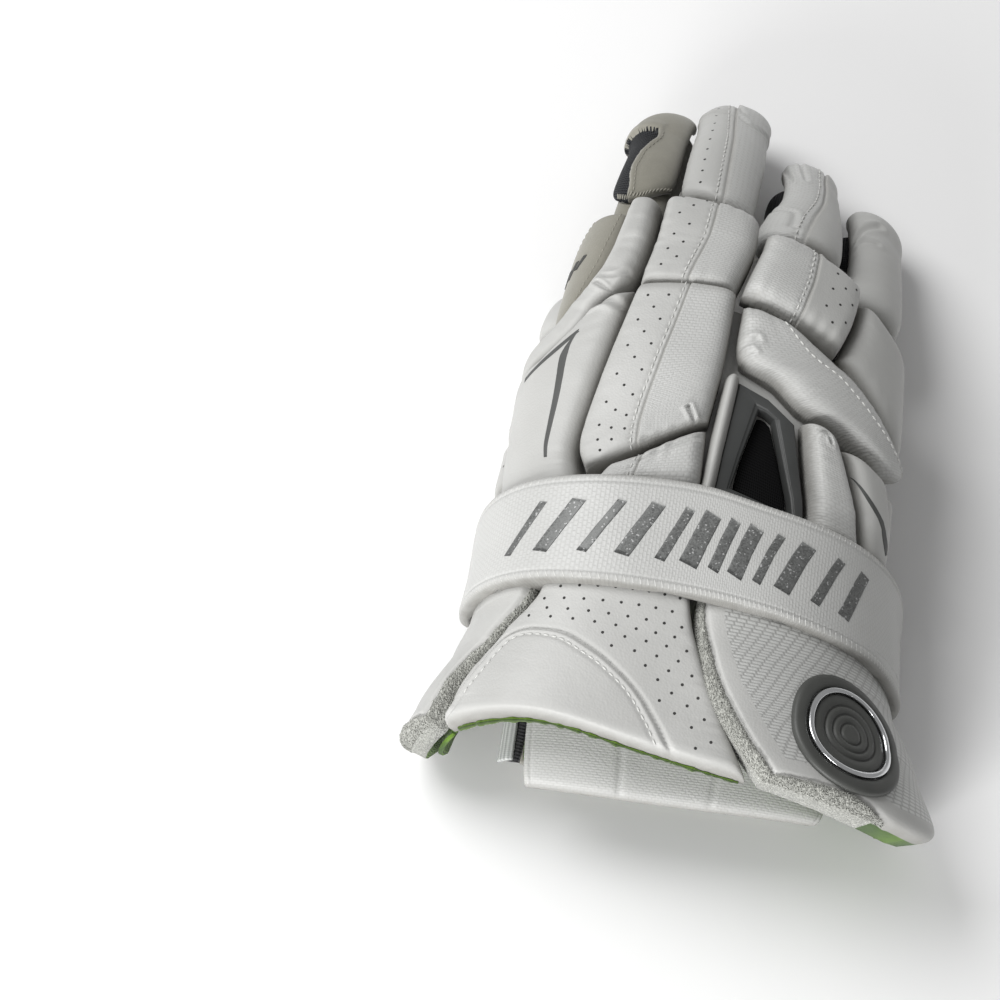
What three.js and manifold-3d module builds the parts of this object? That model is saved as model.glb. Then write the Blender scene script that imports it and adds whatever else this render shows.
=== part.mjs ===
// A right-hand lacrosse glove lying palm down: hollow hand and finger stalls, foam pads on
// the back, a wrist strap, a three-piece flared cuff and an inner wrist band.
// Millimetres, +Z up, fingertips towards +Y, thumb side towards -X, floor at Z = 0.
import * as THREE from 'three';
import { mergeVertices } from 'three/addons/utils/BufferGeometryUtils.js';
import Module from 'manifold-3d';

const wasm = await Module();
wasm.setup();

// Driving sizes
const backLength = 140;        // strap's front edge to the front of the middle pads
const wristLength = 44;        // stretch under the wrist strap
const cuffLength = 68;         // flared part behind the strap
const palmHalfWidth = 64;      // of the hand liner
const linerHeight = 76;        // highest point of the hand liner
const palmDepth = 34;          // liner's thickness over the palm, walls included
const heelDepth = 56;          // the same at the heel of the hand
const wallThickness = 2;       // suede and mesh of the liner and the stalls
const clearance = 0.4;         // between neighbouring pieces
const padDepth = 14;           // foam pads on the back of the hand
const sidePadDepth = 10.5;     // the same on the little finger's side
const tipPadDepth = 9;         // foam rolls over the fingertips
const thumbPadDepth = 7;
const suedeDepth = 4;          // suede patches on the index finger, with their thin foam
const ventDepth = 9;           // frame of the vent on the back of the hand
const meshDepth = 1.6;
const fingerLength = 118;      // knuckle line to the tip of the middle finger
const stallHalfWidth = 13.5;
const stallHalfHeight = 13;
const tipRise = 3.2;           // extra room under a roll at the rounded end of a stall
const knuckleSkew = 26;        // how far the knuckle line falls back on the little finger side
const cuffHalfWidth = 91;      // inside of the flare at its open end
const cuffHeight = 71;         // inside of the cuff above the floor
const cuffDepth = 10;          // foam of the cuff pieces
const cuffStep = 9;            // how far the side pieces stand above the middle one at the end
const strapDepth = 4.5;
const bandHalfWidth = 66;      // inner wrist band, outside
const bandHeight = 65;
const bandLength = 66;
const bandDrop = 20;           // how much lower the top of the band is at its rear end
const bandDepth = 8;
const bandCentre = 3;          // how far the band sits towards the little finger side
const elasticDepth = 2;
const tabDepth = 1.6;          // webbing tab on the thumb side elastic
const liningDepth = 1.8;
const badgeRadius = 23.5;
const badgeDepth = 2.4;
const badgeBevel = 1;          // slope at the rim's edges
const badgeStep = 0.7;         // ring above the rim, and disc below it

const backStart = 100;         // strap's front edge along Y, before the glove is centred

const degrees = Math.PI / 180;
const mix = (a, b, f) => a + (b - a) * f;
const clamp = (value, low, high) => Math.min(Math.max(value, low), high);

// Catmull-Rom through rows of numbers, f from 0 to 1 over the whole list
function through(list, f) {
  const last = list.length - 1;
  const place = clamp(f, 0, 1) * last;
  const i = Math.min(Math.floor(place), last - 1);
  const g = place - i;
  const pick = (k, c) => list[clamp(k, 0, last)][c];
  return list[0].map((_, c) => {
    const [a, b, d, e] = [pick(i - 1, c), pick(i, c), pick(i + 1, c), pick(i + 2, c)];
    const slopeB = (i === 0) ? d - b : (d - a) / 2;
    const slopeD = (i + 1 === last) ? d - b : (e - b) / 2;
    const h = g * g * (3 - 2 * g);
    const inner = g * (1 - g) * (1 - g) * slopeB - g * g * (1 - g) * slopeD;
    return mix(b, d, h) + inner;
  });
}

// The columns of a table whose first column is a place, smooth between its rows
function columnsAt(table, place) {
  const last = table.length - 1;
  let i = 0;
  while (i < last - 1 && place > table[i + 1][0]) i += 1;
  const g = clamp((place - table[i][0]) / (table[i + 1][0] - table[i][0]), 0, 1);
  const h = g * g * (3 - 2 * g);
  return table[i].map((value, c) => (c === 0 ? place : mix(value, table[i + 1][c], mix(g, h, 0.5))));
}

// Distance from the middle of a rounded box of unit half size, at an angle from straight up
function roundedReach(angle, squareness) {
  const side = Math.abs(Math.sin(angle)) ** squareness;
  const up = Math.abs(Math.cos(angle)) ** squareness;
  return 1 / (side + up) ** (1 / squareness);
}

// Hand liner: place along the back as a share of backLength; the rest as shares of
// palmHalfWidth, palmHalfWidth, linerHeight, palmDepth and palmDepth
//             place  left   right  top    depth  sag
const handTable = [
  [-0.34, -0.96, 0.97, 0.88, heelDepth / palmDepth, 0.15],
  [-0.12, -0.97, 0.98, 0.93, heelDepth / palmDepth, 0.20],
  [-0.04, -0.97, 0.99, 0.96, 1.52, 0.25],
  [0.05, -0.97, 1.01, 0.98, 1.12, 0.32],
  [0.14, -0.98, 1.01, 0.99, 1.00, 0.38],
  [0.36, -0.99, 1.02, 1.00, 1.00, 0.40],
  [0.63, -0.96, 1.00, 0.99, 0.97, 0.40],
  [0.82, -0.93, 0.98, 0.95, 0.95, 0.40],
  [1.04, -0.90, 0.84, 0.86, 0.92, 0.40],
];
const handSquareness = 2.7;

// Point of the hand liner: around is -1 at the thumb side, 0 on top and 1 at the little
// finger side, and past 1 it runs under the palm; inset moves it inwards
function handPoint(around, along, inset = 0) {
  const [, left, right, top, depth, sag] = columnsAt(handTable, along);
  const angle = around * 90 * degrees;
  const reach = roundedReach(angle, handSquareness);
  const share = reach * Math.sin(angle);
  const half = (right - left) / 2 * palmHalfWidth - inset;
  const thick = depth * palmDepth / 2;
  const rise = reach * Math.cos(angle) * (thick - inset);
  return new THREE.Vector3(
    (right + left) / 2 * palmHalfWidth + half * share,
    backStart + along * backLength,
    top * linerHeight - thick - sag * palmDepth * share * share + rise,
  );
}

// Cuff: place along it as a share of its length, 0 at the strap's front edge and 1 at the
// open end; half width and height as shares of cuffHalfWidth and cuffHeight
//             place  half   height
const cuffTable = [
  [0.00, 0.785, 1.06],
  [0.20, 0.780, 1.05],
  [0.40, 0.795, 1.03],
  [0.55, 0.835, 1.02],
  [0.75, 0.925, 1.00],
  [1.00, 1.000, 0.99],
];
const cuffSquareness = 3;
const cuffReach = wristLength + cuffLength;

// Point of the cuff's inside: around is -1 and 1 where it meets the floor
function cuffPoint(around, along) {
  const [, half, height] = columnsAt(cuffTable, clamp(along, 0, 1));
  const angle = around * 90 * degrees;
  const reach = roundedReach(angle, cuffSquareness);
  return new THREE.Vector3(
    half * cuffHalfWidth * reach * Math.sin(angle),
    backStart - along * cuffReach,
    height * cuffHeight * reach * Math.cos(angle),
  );
}

// Inner wrist band: around is 0 on top, -1 at the thumb side, 2 underneath
const bandStart = backStart + handTable[0][0] * backLength - clearance;
const bandSquareness = 3;
function bandPoint(around, along) {
  const angle = around * 90 * degrees;
  const reach = roundedReach(angle, bandSquareness);
  const half = bandHeight / 2 + clearance - bandDrop / 2 * along;
  return new THREE.Vector3(
    bandCentre + (bandHalfWidth - bandDepth) * reach * Math.sin(angle),
    bandStart - along * bandLength,
    half - 2 * clearance + (half - bandDepth) * reach * Math.cos(angle),
  );
}

// Fingers: centre line points as shares of palmHalfWidth, fingerLength from the knuckle
// line, and linerHeight; wide and high are shares of the stall's half sizes
const fingers = {
  index: {
    wide: 0.86, high: 0.95,
    line: [
      [-0.70, 0.00, 0.63], [-0.665, 0.36, 0.57], [-0.605, 0.70, 0.46],
      [-0.56, 0.915, 0.26], [-0.545, 0.965, 0.12],
    ],
  },
  middle: {
    wide: 0.86, high: 1,
    line: [
      [-0.19, 0.00, 0.78], [-0.175, 0.40, 0.66], [-0.145, 0.74, 0.48],
      [-0.13, 0.94, 0.24], [-0.125, 0.98, 0.10],
    ],
  },
  ring: {
    wide: 0.86, high: 1,
    line: [
      [0.40, -0.04, 0.787], [0.40, 0.32, 0.64], [0.365, 0.58, 0.44],
      [0.34, 0.73, 0.22], [0.335, 0.76, 0.10],
    ],
  },
  pinky: {
    wide: 0.85, high: 0.90,
    line: [
      [0.77, -0.10, 0.50], [0.80, 0.22, 0.43], [0.785, 0.47, 0.31],
      [0.77, 0.60, 0.17], [0.765, 0.63, 0.09],
    ],
  },
  thumb: {
    wide: 0.96, high: 0.94,
    slanted: true,
    line: [
      [-0.97, -0.70, 0.33], [-0.97, -0.52, 0.24], [-0.95, -0.22, 0.20],
      [-0.88, 0.06, 0.18], [-0.80, 0.20, 0.15],
    ],
  },
};
const knuckleY = backStart + 0.63 * backLength;

// Surface of a finger's stall: around is 0 on its back, 0.5 to the right and 1 below
function fingerSurface({ wide, high, line, slanted = false }) {
  const points = line.map(([x, y, z]) => new THREE.Vector3(
    x * palmHalfWidth, knuckleY + clearance + y * fingerLength, z * linerHeight,
  ));
  const spine = new THREE.CatmullRomCurve3(points, false, 'centripetal');
  const length = spine.getLength();
  const half = wide * stallHalfWidth;
  const roundFrom = 1 - half * 0.9 / length;
  return (around, along, inset = 0) => {
    const centre = spine.getPointAt(clamp(along, 0, 1));
    const ahead = spine.getTangentAt(clamp(along, 0, 1));
    if (!slanted && along < 0.12) ahead.lerp(new THREE.Vector3(0, 1, 0), 1 - along / 0.12).normalize();
    const right = new THREE.Vector3(ahead.y, -ahead.x, 0).normalize();
    const back = new THREE.Vector3().crossVectors(right, ahead);
    const angle = around * 180 * degrees;
    const reach = roundedReach(angle, 2.3);
    const tip = clamp((along - roundFrom) / (1 - roundFrom), 0, 1);
    const shrink = Math.sqrt(Math.max(1 - tip * tip, 0.0004));
    return centre
      .addScaledVector(right, (half - inset) * shrink * reach * Math.sin(angle))
      .addScaledVector(back, (high * stallHalfHeight - inset) * shrink * reach * Math.cos(angle));
  };
}

// Surfaces whose places run back towards the wearer's arm
const runsBack = new Set([cuffPoint, bandPoint]);

// A point lifted off a surface along its outward normal, never below the floor
function lifted(surface, around, along, height, floor) {
  const step = 0.004;
  const here = surface(around, along);
  const low = Math.min(along, 1 - step);
  const across = surface(around + step, low).sub(surface(around - step, low));
  const ahead = surface(around, low + step).sub(surface(around, low - step));
  const normal = across.cross(ahead).normalize();
  if (runsBack.has(surface)) normal.negate();
  here.addScaledVector(normal, height);
  here.z = Math.max(here.z, floor);
  return here;
}

// Closed body from two grids of the same size, the outer and the inner face of a piece
function closedBody(outer, inner) {
  const rows = outer.length;
  const columns = outer[0].length;
  const positions = [];
  for (const grid of [outer, inner]) {
    for (const row of grid) for (const point of row) positions.push(point.x, point.y, point.z);
  }
  const top = (i, j) => i * columns + j;
  const under = (i, j) => rows * columns + top(i, j);
  const index = [];
  const quad = (a, b, c, d) => index.push(a, b, c, a, c, d);
  for (let i = 0; i < rows - 1; i += 1) {
    for (let j = 0; j < columns - 1; j += 1) {
      quad(top(i, j), top(i, j + 1), top(i + 1, j + 1), top(i + 1, j));
      quad(under(i, j), under(i + 1, j), under(i + 1, j + 1), under(i, j + 1));
    }
    quad(top(i, 0), top(i + 1, 0), under(i + 1, 0), under(i, 0));
    quad(top(i, columns - 1), under(i, columns - 1), under(i + 1, columns - 1), top(i + 1, columns - 1));
  }
  for (let j = 0; j < columns - 1; j += 1) {
    quad(top(0, j), under(0, j), under(0, j + 1), top(0, j + 1));
    quad(top(rows - 1, j), top(rows - 1, j + 1), under(rows - 1, j + 1), under(rows - 1, j));
  }
  return facingOut(bodyOf(positions, index));
}

function bodyOf(positions, index) {
  const geometry = new THREE.BufferGeometry();
  geometry.setAttribute('position', new THREE.Float32BufferAttribute(positions, 3));
  geometry.setIndex(index);
  return geometry;
}

// Turns every triangle round when the body's signed volume is negative
function facingOut(geometry) {
  const merged = mergeVertices(geometry, 1e-4);
  const place = merged.getAttribute('position');
  const old = merged.getIndex().array;
  const [a, b, c] = [new THREE.Vector3(), new THREE.Vector3(), new THREE.Vector3()];
  let volume = 0;
  const kept = [];
  for (let i = 0; i < old.length; i += 3) {
    const corners = [old[i], old[i + 1], old[i + 2]];
    if (new Set(corners).size < 3) continue;
    a.fromBufferAttribute(place, corners[0]);
    b.fromBufferAttribute(place, corners[1]);
    c.fromBufferAttribute(place, corners[2]);
    volume += a.dot(b.clone().cross(c));
    kept.push(corners);
  }
  merged.setIndex(kept.flatMap(([i, j, k]) => (volume < 0 ? [i, k, j] : [i, j, k])));
  return merged;
}

// Samples that lie closer together at both ends, where a pad rounds over
function eased(count) {
  return Array.from({ length: count + 1 }, (_, i) => {
    const f = i / count;
    return mix(f, 0.5 - 0.5 * Math.cos(f * 180 * degrees), 0.55);
  });
}
const crown = (f) => Math.max(1 - Math.abs(2 * f - 1) ** 3.4, 0) ** 0.5;

// A foam piece on a surface. Its rows run from one end to the other, each a list of
// [around, along] points from its left edge to its right one.
function padOn(surface, rows, {
  depth = padDepth, base = clearance, rim = 0.42, steps = [7, 6], puff = crown,
  lift = () => 0, liftInside = lift, start = 0,
}) {
  const [stepsLong, stepsWide] = steps;
  const grid = (heightAt, floor) => eased(stepsLong).map((f) => eased(stepsWide).map((g) => {
    const [around, along] = through(rows.map((points) => through(points, g)), mix(start, 1, f));
    return lifted(surface, around, along, heightAt(f, g, along), floor);
  }));
  const outside = (f, g, along) => base + lift(along) + depth * mix(rim, 1, puff(f) * puff(g));
  const inside = (f, g, along) => base + liftInside(along);
  return closedBody(grid(outside, 0), grid(inside, Math.min(wallThickness, depth / 2)));
}

// A turned shape laid on a surface: its profile is a list of [radius, height], which starts
// and ends on the axis or closes on itself
function turnedOn(surface, [around, along], profile, sides = 28) {
  const step = 0.01;
  const perAround = surface(around + step, along).distanceTo(surface(around - step, along)) / (2 * step);
  const perAlong = surface(around, along + step).distanceTo(surface(around, along - step)) / (2 * step);
  const positions = [];
  const index = [];
  profile.forEach(([radius, height]) => {
    for (let k = 0; k < sides; k += 1) {
      const angle = (k / sides) * 360 * degrees;
      const sideways = around + radius * Math.cos(angle) / perAround;
      const onwards = along + radius * Math.sin(angle) / perAlong;
      const point = lifted(surface, sideways, onwards, height, 0);
      positions.push(point.x, point.y, point.z);
    }
  });
  for (let i = 0; i < profile.length - 1; i += 1) {
    for (let k = 0; k < sides; k += 1) {
      const [a, b] = [i * sides + k, i * sides + (k + 1) % sides];
      index.push(a, b, b + sides, a, b + sides, a + sides);
    }
  }
  return facingOut(bodyOf(positions, index));
}

// A tube with a wall: rings of points, open at its start and, unless it has a tip, at its end
function hollowTube(pointAt, { rings, sides, hasTip }) {
  const ring = (along, inset, floor) => Array.from({ length: sides }, (_, k) => {
    const point = pointAt((2 * k) / sides, along, inset);
    point.z = Math.max(point.z, floor);
    return point;
  });
  const outer = rings.map((along) => ring(along, 0, 0));
  const inner = rings.map((along) => ring(along, wallThickness, wallThickness));
  const positions = [];
  for (const set of [outer, inner]) {
    for (const points of set) for (const point of points) positions.push(point.x, point.y, point.z);
  }
  const count = rings.length;
  const id = (set, i, k) => (set * count + i) * sides + (k % sides);
  const index = [];
  const quad = (a, b, c, d) => index.push(a, b, c, a, c, d);
  for (let k = 0; k < sides; k += 1) {
    for (let i = 0; i < count - 1; i += 1) {
      quad(id(0, i, k), id(0, i, k + 1), id(0, i + 1, k + 1), id(0, i + 1, k));
      quad(id(1, i, k), id(1, i + 1, k), id(1, i + 1, k + 1), id(1, i, k + 1));
    }
    quad(id(0, 0, k), id(1, 0, k), id(1, 0, k + 1), id(0, 0, k + 1));
    if (!hasTip) {
      quad(id(0, count - 1, k), id(0, count - 1, k + 1), id(1, count - 1, k + 1), id(1, count - 1, k));
    }
  }
  if (hasTip) {
    const middle = (points) => points.reduce((sum, p) => sum.add(p), new THREE.Vector3()).divideScalar(sides);
    const outerTip = middle(outer[count - 1]);
    const innerTip = middle(inner[count - 1]);
    const outwards = outerTip.clone().sub(middle(outer[count - 2])).normalize();
    innerTip.addScaledVector(outwards, -wallThickness);
    positions.push(outerTip.x, outerTip.y, outerTip.z, innerTip.x, innerTip.y, innerTip.z);
    const first = 2 * count * sides;
    for (let k = 0; k < sides; k += 1) {
      index.push(id(0, count - 1, k), id(0, count - 1, k + 1), first);
      index.push(id(1, count - 1, k + 1), id(1, count - 1, k), first + 1);
    }
  }
  return facingOut(bodyOf(positions, index));
}

// Solids for the cuts
function solidOf(geometry) {
  const place = geometry.getAttribute('position');
  return new wasm.Manifold(new wasm.Mesh({
    numProp: 3,
    vertProperties: new Float32Array(place.array),
    triVerts: new Uint32Array(geometry.getIndex().array),
  }));
}
function cutAway(geometry, ...tools) {
  const result = tools.reduce((solid, tool) => solid.subtract(solidOf(tool)), solidOf(geometry));
  const { vertProperties, triVerts } = result.getMesh();
  return bodyOf(Array.from(vertProperties), Array.from(triVerts));
}

const leatherWhite = { color: 0xeeeeec, roughness: 0.5 };
const leatherWoven = { color: 0xe9ebe9, roughness: 0.42 };
const suedeGrey = { color: 0x918f83, roughness: 0.95 };
const meshDark = { color: 0x2e3133, roughness: 0.9 };
const plasticGrey = { color: 0x7b7f80, roughness: 0.55 };
const liningGreen = { color: 0x6fa81c, roughness: 0.85 };
const elasticBlack = { color: 0x17181a, roughness: 0.8 };
const webbingGrey = { color: 0xb9bcba, roughness: 0.7 };
const rubberDark = { color: 0x3a3d3c, roughness: 0.5 };
const chrome = { color: 0xd9dcde, roughness: 0.12, metalness: 1 };

const glove = new THREE.Group();
function add(name, geometry, material) {
  const mesh = new THREE.Mesh(geometry, new THREE.MeshStandardMaterial(material));
  mesh.name = name;
  glove.add(mesh);
}

function spread(count, from = 0, to = 1) {
  return Array.from({ length: count + 1 }, (_, i) => mix(from, to, i / count));
}

// The knuckle line falls back towards the little finger
const knuckleLine = (share) => knuckleY - knuckleSkew * Math.max(share, 0) ** 1.3;

function handLiner() {
  const rearShare = handTable[0][0];
  const pointAt = (turn, f, inset) => {
    const around = 2 * turn;
    const share = Math.sin(around * 90 * degrees);
    const front = (knuckleLine(share) - backStart) / backLength;
    return handPoint(around, mix(rearShare, front, f), inset);
  };
  const rings = [0, 0.12, 0.22, 0.3, 0.36, 0.42, 0.48, 0.56, 0.7, 0.85, 1];
  return hollowTube(pointAt, { rings, sides: 28, hasTip: false });
}

function stall(finger) {
  const rings = [...spread(6, 0, 0.87), 0.94, 0.99];
  return hollowTube(fingerSurface(finger), { rings, sides: 12, hasTip: true });
}

// The thumb's bore carried back through the heel of the liner
function thumbMouth() {
  const surface = fingerSurface(fingers.thumb);
  const ring = surface(0, 0).add(surface(1, 0)).multiplyScalar(0.5);
  const ahead = surface(0, 0.1).add(surface(1, 0.1)).multiplyScalar(0.5).sub(ring).normalize();
  const reach = 2 * stallHalfWidth;
  const bore = new THREE.CylinderGeometry(stallHalfWidth * 0.6, stallHalfWidth * 0.6, reach, 16);
  bore.applyQuaternion(new THREE.Quaternion().setFromUnitVectors(new THREE.Vector3(0, 1, 0), ahead));
  const back = ahead.clone().multiplyScalar(reach * 0.3);
  bore.translate(ring.x + stallHalfWidth * 0.5, ring.y - back.y, ring.z - back.z);
  bore.deleteAttribute('normal');
  bore.deleteAttribute('uv');
  return mergeVertices(bore, 1e-4);
}

function addHand() {
  add('hand_liner', cutAway(handLiner(), thumbMouth()), suedeGrey);
  for (const [name, finger] of Object.entries(fingers)) {
    add(`${name}_stall`, stall(finger), name === 'thumb' || name === 'index' ? suedeGrey : meshDark);
  }
}

// Pads on the back of the hand
const backPads = {
  middle_long_pad: [
    [[-0.405, 0.045], [0.01, 0.225]], [[-0.43, 0.15], [0.02, 0.31]],
    [[-0.375, 0.40], [0.025, 0.43]], [[-0.325, 0.641], [0.022, 0.64]],
  ],
  middle_wedge_pad: [[[-0.37, 0.015], [0.015, 0.02]], [[-0.33, 0.05], [0.01, 0.20]]],
  middle_mid_roll: [
    [[-0.332, 0.645], [0.012, 0.644]], [[-0.305, 0.80], [0.055, 0.78]],
    [[-0.285, 0.985], [0.085, 0.915]],
  ],
  ring_mid_roll: [
    [[0.04, 0.645], [0.235, 0.585], [0.41, 0.525]], [[0.08, 0.755], [0.27, 0.705], [0.455, 0.645]],
    [[0.115, 0.875], [0.30, 0.835], [0.485, 0.765]],
  ],
  ring_diagonal_pad: [
    [[0.055, 0.615], [0.235, 0.56]], [[0.07, 0.44], [0.385, 0.49]], [[0.205, 0.385], [0.49, 0.445]],
    [[0.305, 0.325], [0.60, 0.385]], [[0.46, 0.285], [0.74, 0.315]], [[0.72, 0.215], [0.92, 0.25]],
  ],
  ring_wedge_pad: [[[0.405, -0.02], [0.60, -0.03]], [[0.325, 0.285], [0.425, 0.265]]],
  pinky_back_pad: [[[0.625, -0.03], [0.80, -0.03]], [[0.475, 0.24], [0.71, 0.185]]],
  pinky_side_pad: [
    [[0.825, -0.03], [1.20, -0.03]], [[0.79, 0.09], [1.20, 0.09]],
    [[0.745, 0.185], [0.96, 0.21], [1.20, 0.255]],
  ],
  pinky_mid_pad: [
    [[0.438, 0.53], [0.635, 0.42], [0.80, 0.35], [1.10, 0.29]],
    [[0.488, 0.635], [0.70, 0.54], [1.04, 0.47]], [[0.51, 0.735], [0.66, 0.68], [0.95, 0.63]],
  ],
  index_knuckle_pad: [
    [[-0.44, 0.975], [-0.325, 0.965]], [[-0.485, 0.82], [-0.335, 0.82]], [[-0.53, 0.70], [-0.36, 0.665]],
    [[-0.66, 0.62], [-0.49, 0.605]], [[-1.10, 0.53], [-1.10, 0.44]],
  ],
  index_back_pad: [
    [[-1.10, -0.02], [-0.435, 0.02]], [[-1.10, 0.16], [-0.46, 0.14]], [[-1.10, 0.30], [-0.405, 0.40]],
    [[-1.10, 0.415], [-0.74, 0.505], [-0.50, 0.575], [-0.355, 0.63]],
  ],
};
// On the side of the hand the foam is thinner
const backDepths = { pinky_side_pad: sidePadDepth, pinky_mid_pad: sidePadDepth };
const sidePanel = [
  [[-1.12, 0.555], [-0.90, 0.60], [-0.70, 0.65]], [[-1.05, 0.74], [-0.565, 0.75]],
  [[-0.90, 0.86], [-0.515, 0.87]], [[-0.70, 0.985], [-0.48, 0.975]],
];
const ventEdge = [[[0.04, 0.02], [0.38, -0.02]], [[0.075, 0.37], [0.19, 0.335], [0.295, 0.275]]];
const ventHole = [[[0.10, 0.05], [0.33, 0.01]], [[0.165, 0.30], [0.22, 0.28]]];
const ventMesh = [[[0.112, 0.06], [0.317, 0.023]], [[0.17, 0.286], [0.213, 0.268]]];

function addBackPads() {
  for (const [name, rows] of Object.entries(backPads)) {
    const steps = [rows.length > 4 ? 9 : 7, 6];
    const depth = backDepths[name] ?? padDepth;
    add(name, padOn(handPoint, rows, { depth, base: 2.5 * clearance, steps }), leatherWhite);
  }
  const patch = { depth: suedeDepth, base: 2 * clearance, rim: 0.6, steps: [5, 4] };
  add('index_side_panel', padOn(handPoint, sidePanel, patch), suedeGrey);
  const frame = padOn(handPoint, ventEdge, { depth: ventDepth, rim: 0.7, steps: [5, 5] });
  const cut = { depth: 3 * ventDepth, base: -ventDepth, rim: 1, steps: [3, 3] };
  add('vent_frame', cutAway(frame, padOn(handPoint, ventHole, cut)), plasticGrey);
  add('vent_mesh', padOn(handPoint, ventMesh, { depth: meshDepth, rim: 1, steps: [3, 3] }), meshDark);
}

// Foam rolls and patches over the stalls
const fingerPads = {
  index_tip_cap: ['index', suedeDepth, [
    [[-0.62, 0.47], [0.27, 0.47]], [[-0.60, 0.70], [0.22, 0.70]], [[-0.56, 0.965], [0.18, 0.965]],
  ]],
  middle_tip_roll: ['middle', tipPadDepth, [
    [[-0.34, 0.425], [0.36, 0.355]], [[-0.31, 0.68], [0.36, 0.66]], [[-0.28, 0.965], [0.36, 0.965]],
  ]],
  ring_tip_roll: ['ring', tipPadDepth, [
    [[-0.42, 0.40], [0.42, 0.32]], [[-0.34, 0.47], [0.42, 0.45]], [[-0.13, 0.62], [0.42, 0.64]],
    [[-0.10, 0.965], [0.42, 0.965]],
  ]],
  pinky_tip_roll: ['pinky', tipPadDepth, [
    [[-0.34, 0.36], [0.58, 0.32]], [[-0.17, 0.55], [0.58, 0.58]], [[-0.12, 0.965], [0.50, 0.965]],
  ]],
  thumb_base_pad: ['thumb', thumbPadDepth, [
    [[-0.80, 0.10], [0.10, 0.10]], [[-0.80, 0.30], [0.08, 0.36]],
  ]],
  thumb_side_pad: ['thumb', thumbPadDepth, [
    [[-0.82, 0.34], [0.06, 0.40]], [[-0.82, 0.54], [0.04, 0.56]],
  ]],
  thumb_mid_pad: ['thumb', thumbPadDepth, [
    [[-0.82, 0.58], [0.02, 0.60]], [[-0.80, 0.77], [0.02, 0.77]],
  ]],
  thumb_tip_roll: ['thumb', thumbPadDepth, [
    [[-0.80, 0.81], [0.04, 0.81]], [[-0.72, 0.965], [0.10, 0.965]],
  ]],
};
// Room for the rounded end of the stall under a pad's front edge
const tipLift = (along) => 0.8 * clearance + tipRise * clamp((along - 0.78) / 0.18, 0, 1);
function addFingerPads() {
  for (const [name, [finger, depth, rows]] of Object.entries(fingerPads)) {
    const material = name === 'index_tip_cap' ? suedeGrey : leatherWhite;
    const base = (finger === 'thumb' ? 0.8 : 2.5) * clearance;
    const options = { depth, base, steps: [6, 6], rim: 0.35, lift: tipLift };
    const pad = padOn(fingerSurface(fingers[finger]), rows, options);
    add(name, pad, material);
  }
}

// The side pieces of the cuff stand further off it towards its open end
const sideLift = (along) => cuffStep * clamp((along - 0.36) / 0.6, 0, 1) ** 1.4;
const sideLiftInside = (along) => 0.45 * sideLift(along);
const cuffMiddle = [
  [[-0.40, 0.02], [0.03, 0.02]], [[-0.42, 0.38], [0.03, 0.38]], [[-0.49, 0.54], [0.09, 0.60]],
  [[-0.56, 0.71], [0.16, 0.78]], [[-0.61, 0.87], [-0.34, 0.83], [-0.07, 0.89], [0.25, 0.975]],
];
const cuffThumbSide = [
  [[-0.955, 0.02], [-0.43, 0.02]], [[-0.96, 0.38], [-0.45, 0.38]], [[-0.965, 0.60], [-0.52, 0.54]],
  [[-0.965, 0.75], [-0.59, 0.71]], [[-0.955, 0.86], [-0.80, 0.95], [-0.64, 0.90]],
];
const cuffLittleSide = [
  [[0.06, 0.02], [0.50, 0.075], [0.955, 0.10]], [[0.06, 0.38], [0.50, 0.40], [0.96, 0.42]],
  [[0.12, 0.60], [0.53, 0.60], [0.965, 0.60]], [[0.19, 0.78], [0.57, 0.78], [0.965, 0.78]],
  [[0.28, 0.985], [0.60, 1.00], [0.955, 0.87]],
];
const liningBase = -liningDepth - clearance;

function addCuff() {
  const flat = { depth: liningDepth, base: liningBase, rim: 1, steps: [5, 6], start: 0.46 };
  const middle = { depth: cuffDepth, steps: [9, 8], rim: 0.7 };
  add('cuff_middle', padOn(cuffPoint, cuffMiddle, middle), leatherWhite);
  add('cuff_middle_lining', padOn(cuffPoint, cuffMiddle, flat), liningGreen);
  const sides = { cuff_thumb_side: cuffThumbSide, cuff_little_side: cuffLittleSide };
  for (const [name, rows] of Object.entries(sides)) {
    const shell = { depth: cuffDepth, steps: [9, 9], rim: 0.75, lift: sideLift, liftInside: sideLiftInside };
    add(name, padOn(cuffPoint, rows, shell), leatherWoven);
    const lining = { ...flat, base: liningBase - clearance, lift: sideLiftInside };
    add(`${name}_lining`, padOn(cuffPoint, rows, lining), liningGreen);
  }
}

const strapRows = [
  [[-0.94, 0.00], [-0.94, 0.36]], [[-0.72, -0.01], [-0.72, 0.36]], [[-0.38, -0.01], [-0.38, 0.365]],
  [[0.00, -0.01], [0.00, 0.375]], [[0.24, 0.03], [0.24, 0.40]], [[0.50, 0.06], [0.50, 0.45]],
  [[0.69, 0.075], [0.69, 0.495]], [[0.94, 0.085], [0.94, 0.46]],
];
function addStrap() {
  const base = cuffDepth + 4 * clearance;
  const strap = { depth: strapDepth, base, rim: 0.7, steps: [22, 4] };
  add('wrist_strap', padOn(cuffPoint, strapRows, strap), leatherWoven);
}

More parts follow.
